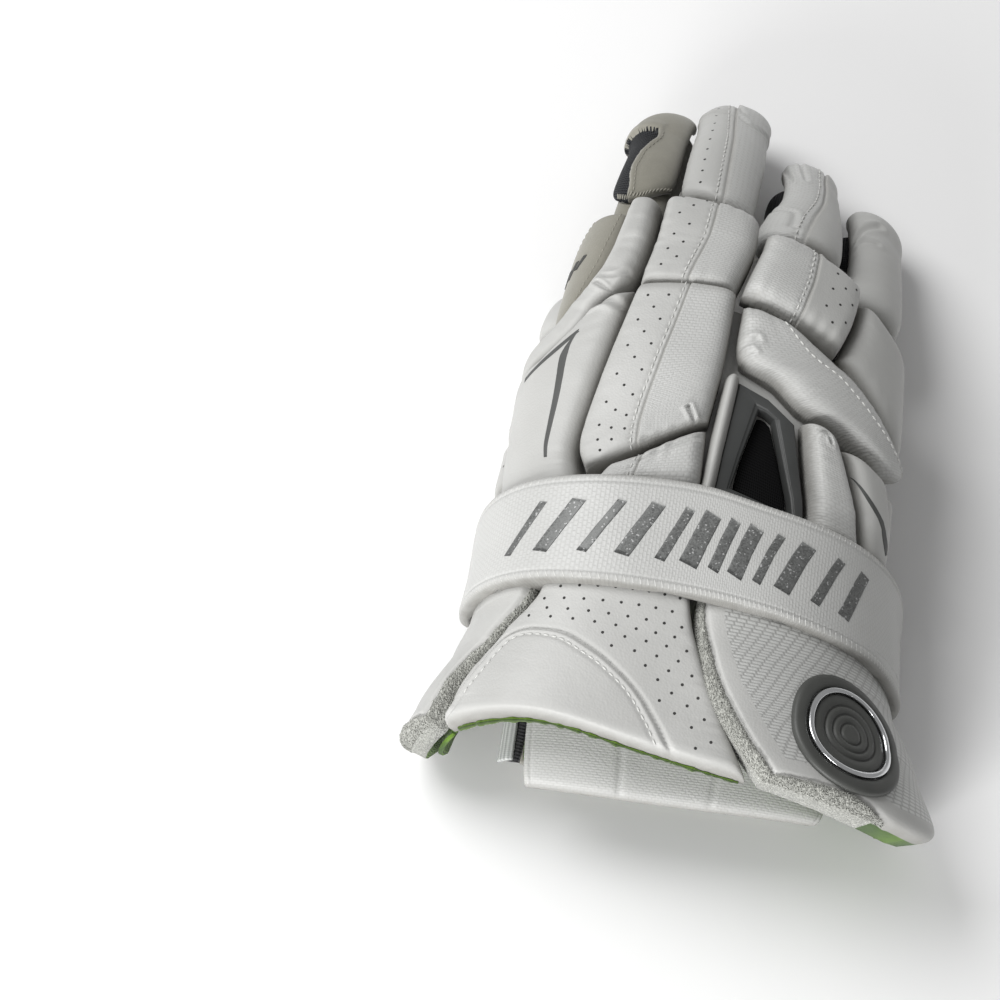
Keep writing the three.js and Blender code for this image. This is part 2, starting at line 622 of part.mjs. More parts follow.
const bandTop = [[[-0.58, 0.00], [0.72, 0.00]], [[-0.60, 0.93], [0.72, 0.88]]];
const bandUnder = [[[1.30, 0.00], [2.72, 0.00]], [[1.30, 0.64], [2.72, 0.64]]];
const bandThumbGap = [[[2.728, 0.05], [3.412, 0.05]], [[2.728, 0.62], [3.394, 0.80]]];
const webbingTab = [[[3.20, 0.52], [3.35, 0.52]], [[3.20, 0.76], [3.35, 0.76]]];
const bandLittleGap = [[[0.728, 0.05], [1.292, 0.05]], [[0.728, 0.80], [1.292, 0.62]]];
function addWristBand() {
  const padded = { depth: bandDepth, rim: 0.8, steps: [5, 14] };
  add('wrist_band_top', padOn(bandPoint, bandTop, padded), leatherWoven);
  add('wrist_band_under', padOn(bandPoint, bandUnder, { ...padded, rim: 1 }), leatherWoven);
  const base = (bandDepth - elasticDepth) / 2;
  const thin = { depth: elasticDepth, base, rim: 0.9, steps: [3, 8] };
  add('wrist_elastic_thumb_side', padOn(bandPoint, bandThumbGap, thin), elasticBlack);
  add('wrist_elastic_little_side', padOn(bandPoint, bandLittleGap, thin), elasticBlack);
  const tab = { depth: tabDepth, base: base + elasticDepth + clearance, rim: 0.9, steps: [2, 3] };
  add('webbing_tab', padOn(bandPoint, webbingTab, tab), webbingGrey);
}

// The badge lies on the little finger side of the cuff
const badgeAt = [0.43, 0.755];
function littleSideTop(around, along) {
  return lifted(cuffPoint, around, along, clearance + cuffDepth + sideLift(along), 0);
}
runsBack.add(littleSideTop);

function addBadge() {
  const seat = clearance;
  const top = seat + badgeDepth;
  const inner = badgeRadius * 0.74;
  const hollow = inner * 0.88;
  const face = hollow - clearance;
  const rim = [
    [inner + clearance, seat], [badgeRadius, seat], [badgeRadius - badgeBevel, top],
    [inner + badgeBevel, top],
    [inner + clearance, seat],
  ];
  const raised = top + badgeStep;
  const sunk = top - badgeStep;
  const ring = [[hollow, seat], [inner, seat], [inner, raised], [hollow, raised], [hollow, seat]];
  const disc = [[0, seat], [face, seat], [face, sunk], [face / 2, sunk], [0, mix(sunk, top, 0.5)]];
  add('badge_rim', turnedOn(littleSideTop, badgeAt, rim), rubberDark);
  add('badge_ring', turnedOn(littleSideTop, badgeAt, ring), chrome);
  add('badge_disc', turnedOn(littleSideTop, badgeAt, disc), rubberDark);
}

addHand();
addBackPads();
addFingerPads();
addCuff();
addStrap();
addWristBand();
addBadge();

// The origin is the middle of the glove's box, on the floor
const box = new THREE.Box3().setFromObject(glove);
glove.position.set(-(box.min.x + box.max.x) / 2, -(box.min.y + box.max.y) / 2, -box.min.z);

export default glove;
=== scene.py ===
import math
import bpy
import numpy as np
from mathutils import Matrix, Vector


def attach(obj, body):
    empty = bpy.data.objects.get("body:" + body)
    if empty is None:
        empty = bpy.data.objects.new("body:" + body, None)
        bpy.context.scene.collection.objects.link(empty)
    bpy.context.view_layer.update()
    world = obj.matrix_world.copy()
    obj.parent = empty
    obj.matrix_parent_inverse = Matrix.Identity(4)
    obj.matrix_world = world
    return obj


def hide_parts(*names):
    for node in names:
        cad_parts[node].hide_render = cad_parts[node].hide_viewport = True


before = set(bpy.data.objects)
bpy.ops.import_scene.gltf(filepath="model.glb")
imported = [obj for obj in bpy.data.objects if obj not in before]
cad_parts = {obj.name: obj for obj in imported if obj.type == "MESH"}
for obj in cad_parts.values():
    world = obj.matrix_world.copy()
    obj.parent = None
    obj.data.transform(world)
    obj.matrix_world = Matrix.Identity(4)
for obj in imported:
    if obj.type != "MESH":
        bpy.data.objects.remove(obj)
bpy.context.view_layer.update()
print("frame loaded")

# A right-hand lacrosse glove, palm down. Shapes are worked out in millimetres on the same
# surfaces as the solids, then moved into the frame in metres.
frameShift = np.array([0.551, -153.850, 0.0])


def intoFrame(points):
    return (np.asarray(points, float) + frameShift) * 0.001


# surfaces
# The glove's named sizes and section tables, in millimetres, as its solids have them
sizes = dict(back=140, wrist=44, cuff=68, palmHalf=64, linerTop=76, palm=34, heel=56, wall=2, gap=0.4,
             pad=14, sidePad=10.5, tip=9, finger=118, stallHalf=13.5, stallHigh=13, skew=26, cuffHalf=91,
             cuffTop=71, cuffFoam=10, cuffStep=9, strap=4.5, bandHalf=66, bandTop=65, bandLong=66,
             bandDrop=20, bandFoam=8)
heelShare = sizes["heel"] / sizes["palm"]
backStart = 100
handTable = np.array([
    [-0.34, -0.96, 0.97, 0.88, heelShare, 0.15], [-0.12, -0.97, 0.98, 0.93, heelShare, 0.20],
    [-0.04, -0.97, 0.99, 0.96, 1.52, 0.25], [0.05, -0.97, 1.01, 0.98, 1.12, 0.32],
    [0.14, -0.98, 1.01, 0.99, 1.00, 0.38], [0.36, -0.99, 1.02, 1.00, 1.00, 0.40],
    [0.63, -0.96, 1.00, 0.99, 0.97, 0.40], [0.82, -0.93, 0.98, 0.95, 0.95, 0.40],
    [1.04, -0.90, 0.84, 0.86, 0.92, 0.40]])
cuffTable = np.array([[0.00, 0.785, 1.06], [0.20, 0.780, 1.05], [0.40, 0.795, 1.03],
                      [0.55, 0.835, 1.02], [0.75, 0.925, 1.00], [1.00, 1.000, 0.99]])
fingerLines = {
    "index": (0.86, 0.95, [[-0.70, 0.00, 0.63], [-0.665, 0.36, 0.57], [-0.605, 0.70, 0.46],
                           [-0.56, 0.915, 0.26], [-0.545, 0.965, 0.12]]),
    "middle": (0.86, 1.0, [[-0.19, 0.00, 0.78], [-0.175, 0.40, 0.66], [-0.145, 0.74, 0.48],
                           [-0.13, 0.94, 0.24], [-0.125, 0.98, 0.10]]),
    "ring": (0.86, 1.0, [[0.40, -0.04, 0.787], [0.40, 0.32, 0.64], [0.365, 0.58, 0.44],
                         [0.34, 0.73, 0.22], [0.335, 0.76, 0.10]]),
    "pinky": (0.85, 0.90, [[0.77, -0.10, 0.50], [0.80, 0.22, 0.43], [0.785, 0.47, 0.31],
                           [0.77, 0.60, 0.17], [0.765, 0.63, 0.09]]),
    "thumb": (0.96, 0.94, [[-0.97, -0.70, 0.33], [-0.97, -0.52, 0.24], [-0.95, -0.22, 0.20],
                           [-0.88, 0.06, 0.18], [-0.80, 0.20, 0.15]])}


def columnsAt(table, place):
    place = np.asarray(place, float)
    i = np.clip(np.searchsorted(table[:, 0], place, side="left") - 1, 0, len(table) - 2)
    g = np.clip((place - table[i, 0]) / (table[i + 1, 0] - table[i, 0]), 0, 1)
    t = (g + g * g * (3 - 2 * g)) / 2
    return [table[i, c] + (table[i + 1, c] - table[i, c]) * t for c in range(1, table.shape[1])]


def roundedReach(angle, squareness):
    return 1 / (np.abs(np.sin(angle)) ** squareness + np.abs(np.cos(angle)) ** squareness) ** (1 / squareness)


def handPoint(around, along, inset=0):
    left, right, top, depth, sag = columnsAt(handTable, along)
    angle = np.asarray(around, float) * math.pi / 2
    reach = roundedReach(angle, 2.7)
    share = reach * np.sin(angle)
    half = (right - left) / 2 * sizes["palmHalf"] - inset
    thick = depth * sizes["palm"] / 2
    x = (right + left) / 2 * sizes["palmHalf"] + half * share
    y = backStart + along * sizes["back"] + 0 * angle
    middleHeight = top * sizes["linerTop"] - thick - sag * sizes["palm"] * share ** 2
    z = middleHeight + reach * np.cos(angle) * (thick - inset)
    return np.stack(np.broadcast_arrays(x, y, z), -1)


def cuffPoint(around, along):
    half, height = columnsAt(cuffTable, np.clip(along, 0, 1))
    angle = np.asarray(around, float) * math.pi / 2
    reach = roundedReach(angle, 3)
    x = half * sizes["cuffHalf"] * reach * np.sin(angle)
    y = backStart - np.asarray(along) * (sizes["wrist"] + sizes["cuff"])
    z = height * sizes["cuffTop"] * reach * np.cos(angle)
    return np.stack(np.broadcast_arrays(x, y, z), -1)


def bandPoint(around, along):
    angle = np.asarray(around, float) * math.pi / 2
    reach = roundedReach(angle, 3)
    half = sizes["bandTop"] / 2 + sizes["gap"] - sizes["bandDrop"] / 2 * np.asarray(along)
    foam = sizes["bandFoam"]
    x = 3 + (sizes["bandHalf"] - foam) * reach * np.sin(angle)
    y = backStart + handTable[0, 0] * sizes["back"] - sizes["gap"] - np.asarray(along) * sizes["bandLong"]
    z = half - 2 * sizes["gap"] + (half - foam) * reach * np.cos(angle)
    return np.stack(np.broadcast_arrays(x, y, z), -1)


def fingerSurface(name):
    wide, high, line = fingerLines[name]
    p = np.array(line, float) * [sizes["palmHalf"], sizes["finger"], sizes["linerTop"]]
    p[:, 1] += backStart + 0.63 * sizes["back"] + sizes["gap"]
    p = np.vstack([2 * p[0] - p[1], p, 2 * p[-1] - p[-2]])
    spine = []
    for a, b, c, d in zip(p[:-3], p[1:-2], p[2:-1], p[3:]):
        da, db, dc = [np.linalg.norm(v) ** 0.5 for v in (b - a, c - b, d - c)]
        m0 = ((b - a) / da - (c - a) / (da + db) + (c - b) / db) * db
        m1 = ((c - b) / db - (d - b) / (db + dc) + (d - c) / dc) * db
        t = np.linspace(0, 1, 60)[:, None]
        spine.append(b + m0 * t + (-3 * b + 3 * c - 2 * m0 - m1) * t ** 2 + (2 * b - 2 * c + m0 + m1) * t ** 3)
    spine = np.vstack(spine)
    spine = spine[np.r_[True, np.linalg.norm(np.diff(spine, axis=0), axis=1) > 1e-6]]
    gone = np.r_[0, np.cumsum(np.linalg.norm(np.diff(spine, axis=0), axis=1))]
    tangents = np.gradient(spine, gone, axis=0)
    length, half = gone[-1], wide * sizes["stallHalf"]
    roundFrom = 1 - half * 0.9 / length

    def surface(around, along, inset=0):
        around, along = np.broadcast_arrays(np.asarray(around, float), np.asarray(along, float))
        s = np.clip(along, 0, 1) * length
        centre = np.stack([np.interp(s, gone, spine[:, k]) for k in range(3)], -1)
        ahead = np.stack([np.interp(s, gone, tangents[:, k]) for k in range(3)], -1)
        if name != "thumb":
            mixIn = np.clip(1 - along / 0.12, 0, 1)[..., None]
            ahead = ahead + (np.array([0, 1, 0]) - ahead) * mixIn
        ahead /= np.linalg.norm(ahead, axis=-1, keepdims=True)
        right = np.stack([ahead[..., 1], -ahead[..., 0], 0 * s], -1)
        right /= np.linalg.norm(right, axis=-1, keepdims=True)
        back = np.cross(right, ahead)
        angle = around * math.pi
        reach = roundedReach(angle, 2.3)
        tip = np.clip((along - roundFrom) / (1 - roundFrom), 0, 1)
        shrink = np.sqrt(np.maximum(1 - tip * tip, 0.0004))
        sideways = ((half - inset) * shrink * reach * np.sin(angle))[..., None]
        upwards = ((high * sizes["stallHigh"] - inset) * shrink * reach * np.cos(angle))[..., None]
        return centre + right * sideways + back * upwards
    surface.length = length
    return surface


fingers = {name: fingerSurface(name) for name in fingerLines}


def normalsOf(surface, around, along):
    step = 0.004
    low = np.minimum(along, 1 - step)
    across = surface(around + step, low) - surface(around - step, low)
    ahead = surface(around, low + step) - surface(around, low - step)
    normal = np.cross(across, ahead)
    normal /= np.linalg.norm(normal, axis=-1, keepdims=True)
    return -normal if surface in (cuffPoint, bandPoint) else normal


def valueNoise(points, size, seed=0):
    # smooth noise from -1 to 1 with features of about the given size
    p = np.asarray(points, float) / size + 17.3 * seed + 400
    cell = np.floor(p).astype(np.int64)
    t = p - cell
    t = t * t * (3 - 2 * t)
    total = 0
    for corner in np.ndindex(*(2,) * p.shape[-1]):
        c = cell + np.array(corner)
        code = c[..., 0] * 73856093
        for k, prime in zip(range(1, p.shape[-1]), (19349663, 83492791)):
            code = code ^ (c[..., k] * prime)
        code = ((code ^ (code >> 13)) * 1274126177) & 0x7FFFFFFF
        weight = np.prod(np.where(np.array(corner) == 1, t, 1 - t), axis=-1)
        total = total + weight * ((code % 20011) / 10005.5 - 1)
    return total


def hump(distance, width):
    return np.exp(-(distance / width) ** 2)


def eased(line, spacing=1.0):
    # a polyline rounded by Catmull-Rom and resampled at an even spacing
    line = np.asarray(line, float)
    if len(line) > 2:
        t = np.linspace(0, 1, 16 * (len(line) - 1) + 1)
        line = through([p for p in line], t)
    gone = np.r_[0, np.cumsum(np.linalg.norm(np.diff(line, axis=0), axis=1))]
    steps = np.linspace(0, gone[-1], max(2, int(gone[-1] / spacing) + 1))
    return np.stack([np.interp(steps, gone, line[:, k]) for k in range(line.shape[1])], -1)


def beside(line, offset):
    # the line moved sideways, positive to its left
    ahead = np.gradient(line, axis=0)
    ahead /= np.linalg.norm(ahead, axis=1, keepdims=True)
    return line + np.stack([-ahead[:, 1], ahead[:, 0]], -1) * offset


def awayFrom(line, flat):
    # signed distance from a polyline, positive to its left
    best = np.full(flat.shape[:-1], 1e9)
    for a, b in zip(line[:-1], line[1:]):
        step = b - a
        t = np.clip(((flat - a) @ step) / max(step @ step, 1e-9), 0, 1)
        gap = flat - (a + t[..., None] * step)
        far = np.hypot(gap[..., 0], gap[..., 1])
        side = np.where(step[0] * gap[..., 1] - step[1] * gap[..., 0] >= 0, 1.0, -1.0)
        best = np.where(far < np.abs(best) - 1e-6, far * side, best)
    return best


def through(points, f):
    # Catmull-Rom over a list of arrays; f runs from 0 to 1 and a little past both ends
    f = np.asarray(f, float)
    stack = np.stack([np.broadcast_to(p, f.shape + (2,)) for p in points])
    last = len(points) - 1
    place = f * last
    i = np.clip(np.floor(place), 0, last - 1).astype(int)
    g = (place - i)[..., None]

    def pick(k):
        return np.take_along_axis(stack, np.clip(k, 0, last)[None, ..., None], 0)[0]
    a, b, d, e = pick(i - 1), pick(i), pick(i + 1), pick(i + 2)
    slopeB = np.where((i == 0)[..., None], d - b, (d - a) / 2)
    slopeD = np.where((i + 1 == last)[..., None], d - b, (e - b) / 2)
    h = g * g * (3 - 2 * g)
    return b + (d - b) * h + g * (1 - g) ** 2 * slopeB - g * g * (1 - g) * slopeD


def sideLift(along):
    # the side pieces of the cuff stand further off it towards its open end
    return sizes["cuffStep"] * np.clip((np.asarray(along) - 0.36) / 0.6, 0, 1) ** 1.4


def tipLift(along):
    return 0.32 + 3.2 * np.clip((np.asarray(along) - 0.78) / 0.18, 0, 1)


# meshes
def makeObject(name, points, faces, materials, slots=None, uv=None, fields=None):
    mesh = bpy.data.meshes.new(name)
    mesh.from_pydata(intoFrame(points).tolist(), [], [tuple(int(i) for i in face) for face in faces])
    for material in materials:
        mesh.materials.append(material)
    if slots is not None:
        mesh.polygons.foreach_set("material_index", np.asarray(slots, dtype=np.int32))
    mesh.polygons.foreach_set("use_smooth", np.ones(len(mesh.polygons), dtype=bool))
    if uv is not None:
        corner = np.zeros(len(mesh.loops), dtype=np.int32)
        mesh.loops.foreach_get("vertex_index", corner)
        layer = mesh.uv_layers.new(name="UVMap")
        layer.data.foreach_set("uv", (np.asarray(uv)[corner] * 0.001).astype(np.float32).ravel())
    for key, values in (fields or {}).items():
        layer = mesh.attributes.new(key, "FLOAT", "POINT")
        layer.data.foreach_set("value", np.asarray(values, dtype=np.float32).ravel())
    mesh.update()
    piece = bpy.data.objects.new(name, mesh)
    bpy.context.scene.collection.objects.link(piece)
    return piece


def gridFaces(rows, columns, first=0, turned=False):
    i, j = np.meshgrid(np.arange(rows - 1), np.arange(columns - 1), indexing="ij")
    a = first + i * columns + j
    quads = np.stack([a, a + 1, a + columns + 1, a + columns], -1).reshape(-1, 4)
    return quads[:, ::-1] if turned else quads


def easedSamples(count, share=0.65):
    t = np.linspace(0, 1, count + 1)
    return t + (0.5 - 0.5 * np.cos(math.pi * t) - t) * share


class Pad:
    # A foam piece on a surface. u runs across it and v along it, both from -1 to 1.
    def __init__(self, surface, rows, **look):
        self.surface, self.rows = surface, [np.array(row, float) for row in rows]
        self.look = dict(depth=sizes["pad"], base=1.0, rim=0.3, round=7, roundEnds=None, corner=0.25,
                         grow=0.6, crown=0.0, start=0, lift=lambda a: 0 * a, liftInside=None, size=(56, 84),
                         seam=None, stitchSide=-1, gathers={}, gatherPitch=5, swell=0.35, seed=1, floor=0.12,
                         extra=None, seamDepth=0.7, creases=())
        self.look.update(look)
        share = np.linspace(0, 1, 13)
        F, G = np.meshgrid(share, share, indexing="ij")
        net = surface(*self.onSurface(F, G))
        self.width = np.linalg.norm(np.diff(net, axis=1), axis=-1).sum(1).mean()
        self.length = np.linalg.norm(np.diff(net, axis=0), axis=-1).sum(0).mean()
        self.creases = [(eased(self.sharesAt(line), 1.0), depth, width) for line, depth,
                        width in self.look["creases"]]

    def onSurface(self, f, g):
        f = self.look["start"] + (1 - self.look["start"]) * f
        both = through([through(list(row), g) for row in self.rows], f)
        return both[..., 0], both[..., 1]

    def shares(self, u, v):
        k, grow = self.look["corner"], self.look["grow"]
        g = 0.5 + u * np.sqrt(1 - k * v * v / 2) * (0.5 + grow / self.width)
        f = 0.5 + v * np.sqrt(1 - k * u * u / 2) * (0.5 + grow / self.length)
        return f, g

    def seamShare(self, f):
        at = self.look["seam"]
        return np.interp(np.clip(f, 0, 1), np.linspace(0, 1, len(at)), at)

    def seamU(self, v, offset=0.0):
        v = np.asarray(v, float)
        f, _ = self.shares(0 * v, v)
        g = self.seamShare(f) + offset / self.width
        return (g - 0.5) / (0.5 + self.look["grow"] / self.width) / np.sqrt(1 - self.look["corner"] * v * v / 2)

    def sharesAt(self, spots):
        # the pad's own place, in millimetres from its start left corner, of (around, along) points
        share = np.linspace(-0.05, 1.05, 221)
        F, G = np.meshgrid(share, share, indexing="ij")
        around, along = self.onSurface(F, G)
        flat = []
        for a, b in spots:
            k = np.argmin(((around - a) ** 2 + (along - b) ** 2).ravel())
            flat.append((G.ravel()[k] * self.width, F.ravel()[k] * self.length))
        return np.array(flat)

    def uvOf(self, flat):
        flat = np.asarray(flat, float)
        g, f = flat[..., 0] / self.width, flat[..., 1] / self.length
        halfU, halfV = 0.5 + self.look["grow"] / self.width, 0.5 + self.look["grow"] / self.length
        k = self.look["corner"]
        u, v = (g - 0.5) / halfU, (f - 0.5) / halfV
        for _ in range(6):
            u = (g - 0.5) / halfU / np.sqrt(1 - k * np.minimum(v * v, 1) / 2)
            v = (f - 0.5) / halfV / np.sqrt(1 - k * np.minimum(u * u, 1) / 2)
        return np.clip(u, -1, 1), np.clip(v, -1, 1)

    def flatOf(self, u, v):
        f, g = self.shares(u, v)
        return np.stack([g * self.width, f * self.length], -1)

    def edgeFall(self, distance, half, radius):
        # radius is one number, or one for the low end and one for the high end
        low, high = radius if isinstance(radius, tuple) else (radius, radius)
        radius = np.where(distance < 0, low, high)
        power = np.clip(math.log(0.19) / np.log(1 - 0.55 * np.minimum(radius / half, 1)), 2.2, 60)
        return np.sqrt(np.maximum(1 - np.abs(distance) ** power, 0))

    def height(self, u, v, place):
        look = self.look
        W, L = self.width, self.length
        ends = look["roundEnds"] or look["round"]
        fall = self.edgeFall(u, W / 2, look["round"]) * self.edgeFall(v, L / 2, ends)
        rise = look["depth"] * (look["rim"] + (1 - look["rim"]) * fall)
        rise = rise + look["crown"] * (1 - u * u) * (1 - v * v)
        rise = rise + look["swell"] * fall * valueNoise(place, 19, look["seed"])
        f, g = self.shares(u, v)
        sides = {"left": ((1 + u) * W / 2, v * L / 2), "right": ((1 - u) * W / 2, v * L / 2),
                 "start": ((1 + v) * L / 2, u * W / 2), "end": ((1 - v) * L / 2, u * W / 2)}
        for k, (side, (away, arc)) in enumerate(sides.items()):
            amount = look["gathers"].get(side, 0)
            if amount:
                lines = valueNoise(np.stack([arc, away * 0.25], -1), look["gatherPitch"] * 0.5,
                                   look["seed"] + k)
                rise = rise - amount * (0.5 + 0.5 * lines) * np.exp(-away / 5) * np.clip(away / 1.2, 0, 1)
        if look["seam"]:
            ds = (g - self.seamShare(f)) * W * -look["stitchSide"]
            pucker = 0.5 + 0.5 * np.cos(2 * math.pi * f * L / 3.3 + 1.5 * valueNoise(place, 11, 3))
            rise = rise - look["seamDepth"] * hump(ds + 0.3,
                                                   0.5) + np.where(ds > 0, 0.55,
                                                                   -0.35) * np.exp(-np.abs(ds) / 5)
            rise = rise - 0.45 * hump(ds + 2.4, 0.8) * pucker
        for line, depth, width in self.creases:
            away = awayFrom(line, np.stack([g * W, f * L], -1))
            rise = rise - depth * hump(away, width) + 0.5 * depth * hump(np.abs(away) - 2.1 * width, 1.2 * width)
        if look["extra"]:
            rise = rise + look["extra"](self, u, v, place)
        return rise

    def at(self, u, v, rise=0.0):
        u, v = np.broadcast_arrays(np.asarray(u, float), np.asarray(v, float))
        f, g = self.shares(u, v)
        around, along = self.onSurface(f, g)
        place = self.surface(around, along)
        normal = normalsOf(self.surface, around, along)
        lift = self.look["base"] + self.look["lift"](along)
        out = place + normal * (lift + self.height(u, v, place) + rise)[..., None]
        out[..., 2] = np.maximum(out[..., 2], self.look["floor"])
        return out

    def inside(self, u, v):
        u, v = np.broadcast_arrays(np.asarray(u, float), np.asarray(v, float))
        f, g = self.shares(u, v)
        around, along = self.onSurface(f, g)
        lift = (self.look["liftInside"] or self.look["lift"])(along) + self.look["base"]
        out = self.surface(around, along) + normalsOf(self.surface, around, along) * lift[..., None]
        out[..., 2] = np.maximum(out[..., 2], self.look["floor"] + 0.8)
        return out

    def grid(self):
        across, onwards = self.look["size"]
        v = 2 * easedSamples(onwards) - 1
        if not self.look["seam"]:
            u, v = np.meshgrid(2 * easedSamples(across) - 1, v)
            return u, v, across // 2
        half = across // 2
        part = easedSamples(half)
        middle = self.seamU(v)[:, None]
        left = -1 + (middle + 1) * part[None]
        right = middle + (1 - middle) * part[None]
        u = np.concatenate([left, right[:, 1:]], axis=1)
        return u, np.broadcast_to(v[:, None], u.shape), half

    def build(self, name, materials, kindOf=None, insideSlot=None, skirtSlot=None, endSlot=None):
        # kindOf(u, v, pad) gives each face's material slot; the middle column is the seam
        u, v, half = self.grid()
        rows, columns = u.shape
        outer = self.at(u, v)
        faces = [tuple(q) for q in gridFaces(rows, columns)]
        W, L = self.width, self.length
        f, g = self.shares(u, v)
        uv = np.stack([g * W, f * L], -1).reshape(-1, 2)
        # edge: how near each point is to the pad's rim and seam; the leather and suede paint shade from it
        edge = np.exp(-np.minimum((1 - np.abs(u)) * W / 2, (1 - np.abs(v)) * L / 2) / 2.2)
        if self.look["seam"]:
            edge = np.maximum(edge, 0.75 * hump((g - self.seamShare(f)) * W, 0.8))
        middleU = (u[:-1, :-1] + u[1:, 1:]) / 2
        middleV = (v[:-1, :-1] + v[1:, 1:]) / 2
        if kindOf:
            slots = kindOf(middleU, middleV, self).astype(int)
        else:
            slots = np.zeros(middleU.shape, int)
            if self.look["seam"] and len(materials) > 1:
                slots[:, half:] = 1
        slots = list(slots.ravel())
        cells = (8, 7)
        iu = np.unique(np.round(np.linspace(0, columns - 1, cells[0] + 1)).astype(int))
        iv = np.unique(np.round(np.linspace(0, rows - 1, cells[1] + 1)).astype(int))
        inner = self.inside(u[np.ix_(iv, iu)], v[np.ix_(iv, iu)])
        first = rows * columns
        n = len(iu)
        faces += [tuple(q) for q in gridFaces(len(iv), n, first, turned=True)]
        own = insideSlot if insideSlot is not None else 0
        slots += [own] * ((len(iv) - 1) * (n - 1))
        own = own if skirtSlot is None else skirtSlot

        def skirt(fine, coarse, flip, endSlot=own):
            for k in range(len(coarse) - 1):
                between = [p for p in fine if coarse[k][0] <= p[0] <= coarse[k + 1][0]]
                ring = [p[1] for p in between] + [coarse[k + 1][1], coarse[k][1]]
                faces.append(tuple(ring[::-1] if flip else ring))
                slots.append(own if k < 0.3 * (len(coarse) - 1) else endSlot)
        low = [(j, j) for j in range(columns)]
        high = [(j, (rows - 1) * columns + j) for j in range(columns)]
        left = [(i, i * columns) for i in range(rows)]
        right = [(i, i * columns + columns - 1) for i in range(rows)]
        m = len(iv)
        skirt(low, [(int(j), first + k) for k, j in enumerate(iu)], True)
        skirt(high, [(int(j), first + (m - 1) * n + k) for k, j in enumerate(iu)], False,
              own if endSlot is None else endSlot)
        skirt(left, [(int(i), first + k * n) for k, i in enumerate(iv)], False)
        skirt(right, [(int(i), first + k * n + n - 1) for k, i in enumerate(iv)], True)
        points = np.concatenate([outer.reshape(-1, 3), inner.reshape(-1, 3)])
        innerUv = np.stack([g[np.ix_(iv, iu)] * W, f[np.ix_(iv, iu)] * L], -1).reshape(-1, 2)
        fields = {"edge": np.concatenate([edge.ravel(), np.ones(len(iv) * n)])}
        if self.surface in (cuffPoint, bandPoint):   # these run back towards the arm
            faces = [face[::-1] for face in faces]
        return makeObject(name, points, faces, materials, slots, np.concatenate([uv, innerUv]), fields)

    def holes(self, pitch, keep):
        # centres and facings of a staggered field of punched holes where keep(u, v, ds, self) holds
        W, L = self.width, self.length
        across, onwards = pitch
        spots = []
        for row in range(int(L / onwards) + 1):
            for k in range(int(W / across) + 2):
                spots.append(((k + 0.5 * (row % 2)) * across + 0.3 * across, (row + 0.5) * onwards))
        spots = np.array(spots)
        g, f = spots[:, 0] / W, spots[:, 1] / L
        u = (g - 0.5) / (0.5 + self.look["grow"] / W)
        v = (f - 0.5) / (0.5 + self.look["grow"] / L)
        ds = (g - self.seamShare(f)) * W if self.look["seam"] else 0 * g
        inside = (np.abs(u) < 1 - 7.5 / W) & (np.abs(v) < 1 - 6.5 / L) & keep(u, v, ds, self)
        u, v = u[inside], v[inside]
        return self.pointsOn(u, v, 0.03)

    def pointsOn(self, u, v, rise):
        step = 0.3
        here = self.at(u, v, rise)
        du = self.at(u + step / self.width, v, rise) - self.at(u - step / self.width, v, rise)
        dv = self.at(u, v + step / self.length, rise) - self.at(u, v - step / self.length, rise)
        facing = np.cross(du, dv)
        facing /= np.linalg.norm(facing, axis=-1, keepdims=True)
        return here, -facing if self.surface in (cuffPoint, bandPoint) else facing


# materials
class Field:
    # a node's output that can be added, multiplied and compared like a number
    def __init__(self, recipe, socket):
        self.recipe, self.socket = recipe, socket

    def calc(self, operation, *others):
        return self.recipe.node("ShaderNodeMath", {"operation": operation}, self, *others)

    def __add__(self, other): return self.calc("ADD", other)
    def __radd__(self, other): return self.calc("ADD", other)
    def __sub__(self, other): return self.calc("SUBTRACT", other)
    def __rsub__(self, other): return self.recipe.node("ShaderNodeMath", {"operation": "SUBTRACT"}, other,
                                                       self)
    def __mul__(self, other): return self.calc("MULTIPLY", other)
    def __rmul__(self, other): return self.calc("MULTIPLY", other)
    def __truediv__(self, other): return self.calc("DIVIDE", other)
    def __pow__(self, other): return self.calc("POWER", other)
    def __gt__(self, other): return self.calc("GREATER_THAN", other)
    def __lt__(self, other): return self.calc("LESS_THAN", other)
    def floor(self): return self.calc("FLOOR")
    def fract(self): return self.calc("FRACT")
    def size(self): return self.calc("ABSOLUTE")
    def sine(self): return self.calc("SINE")
    def within(self, low, high): return self.calc("MAXIMUM", low).calc("MINIMUM", high)


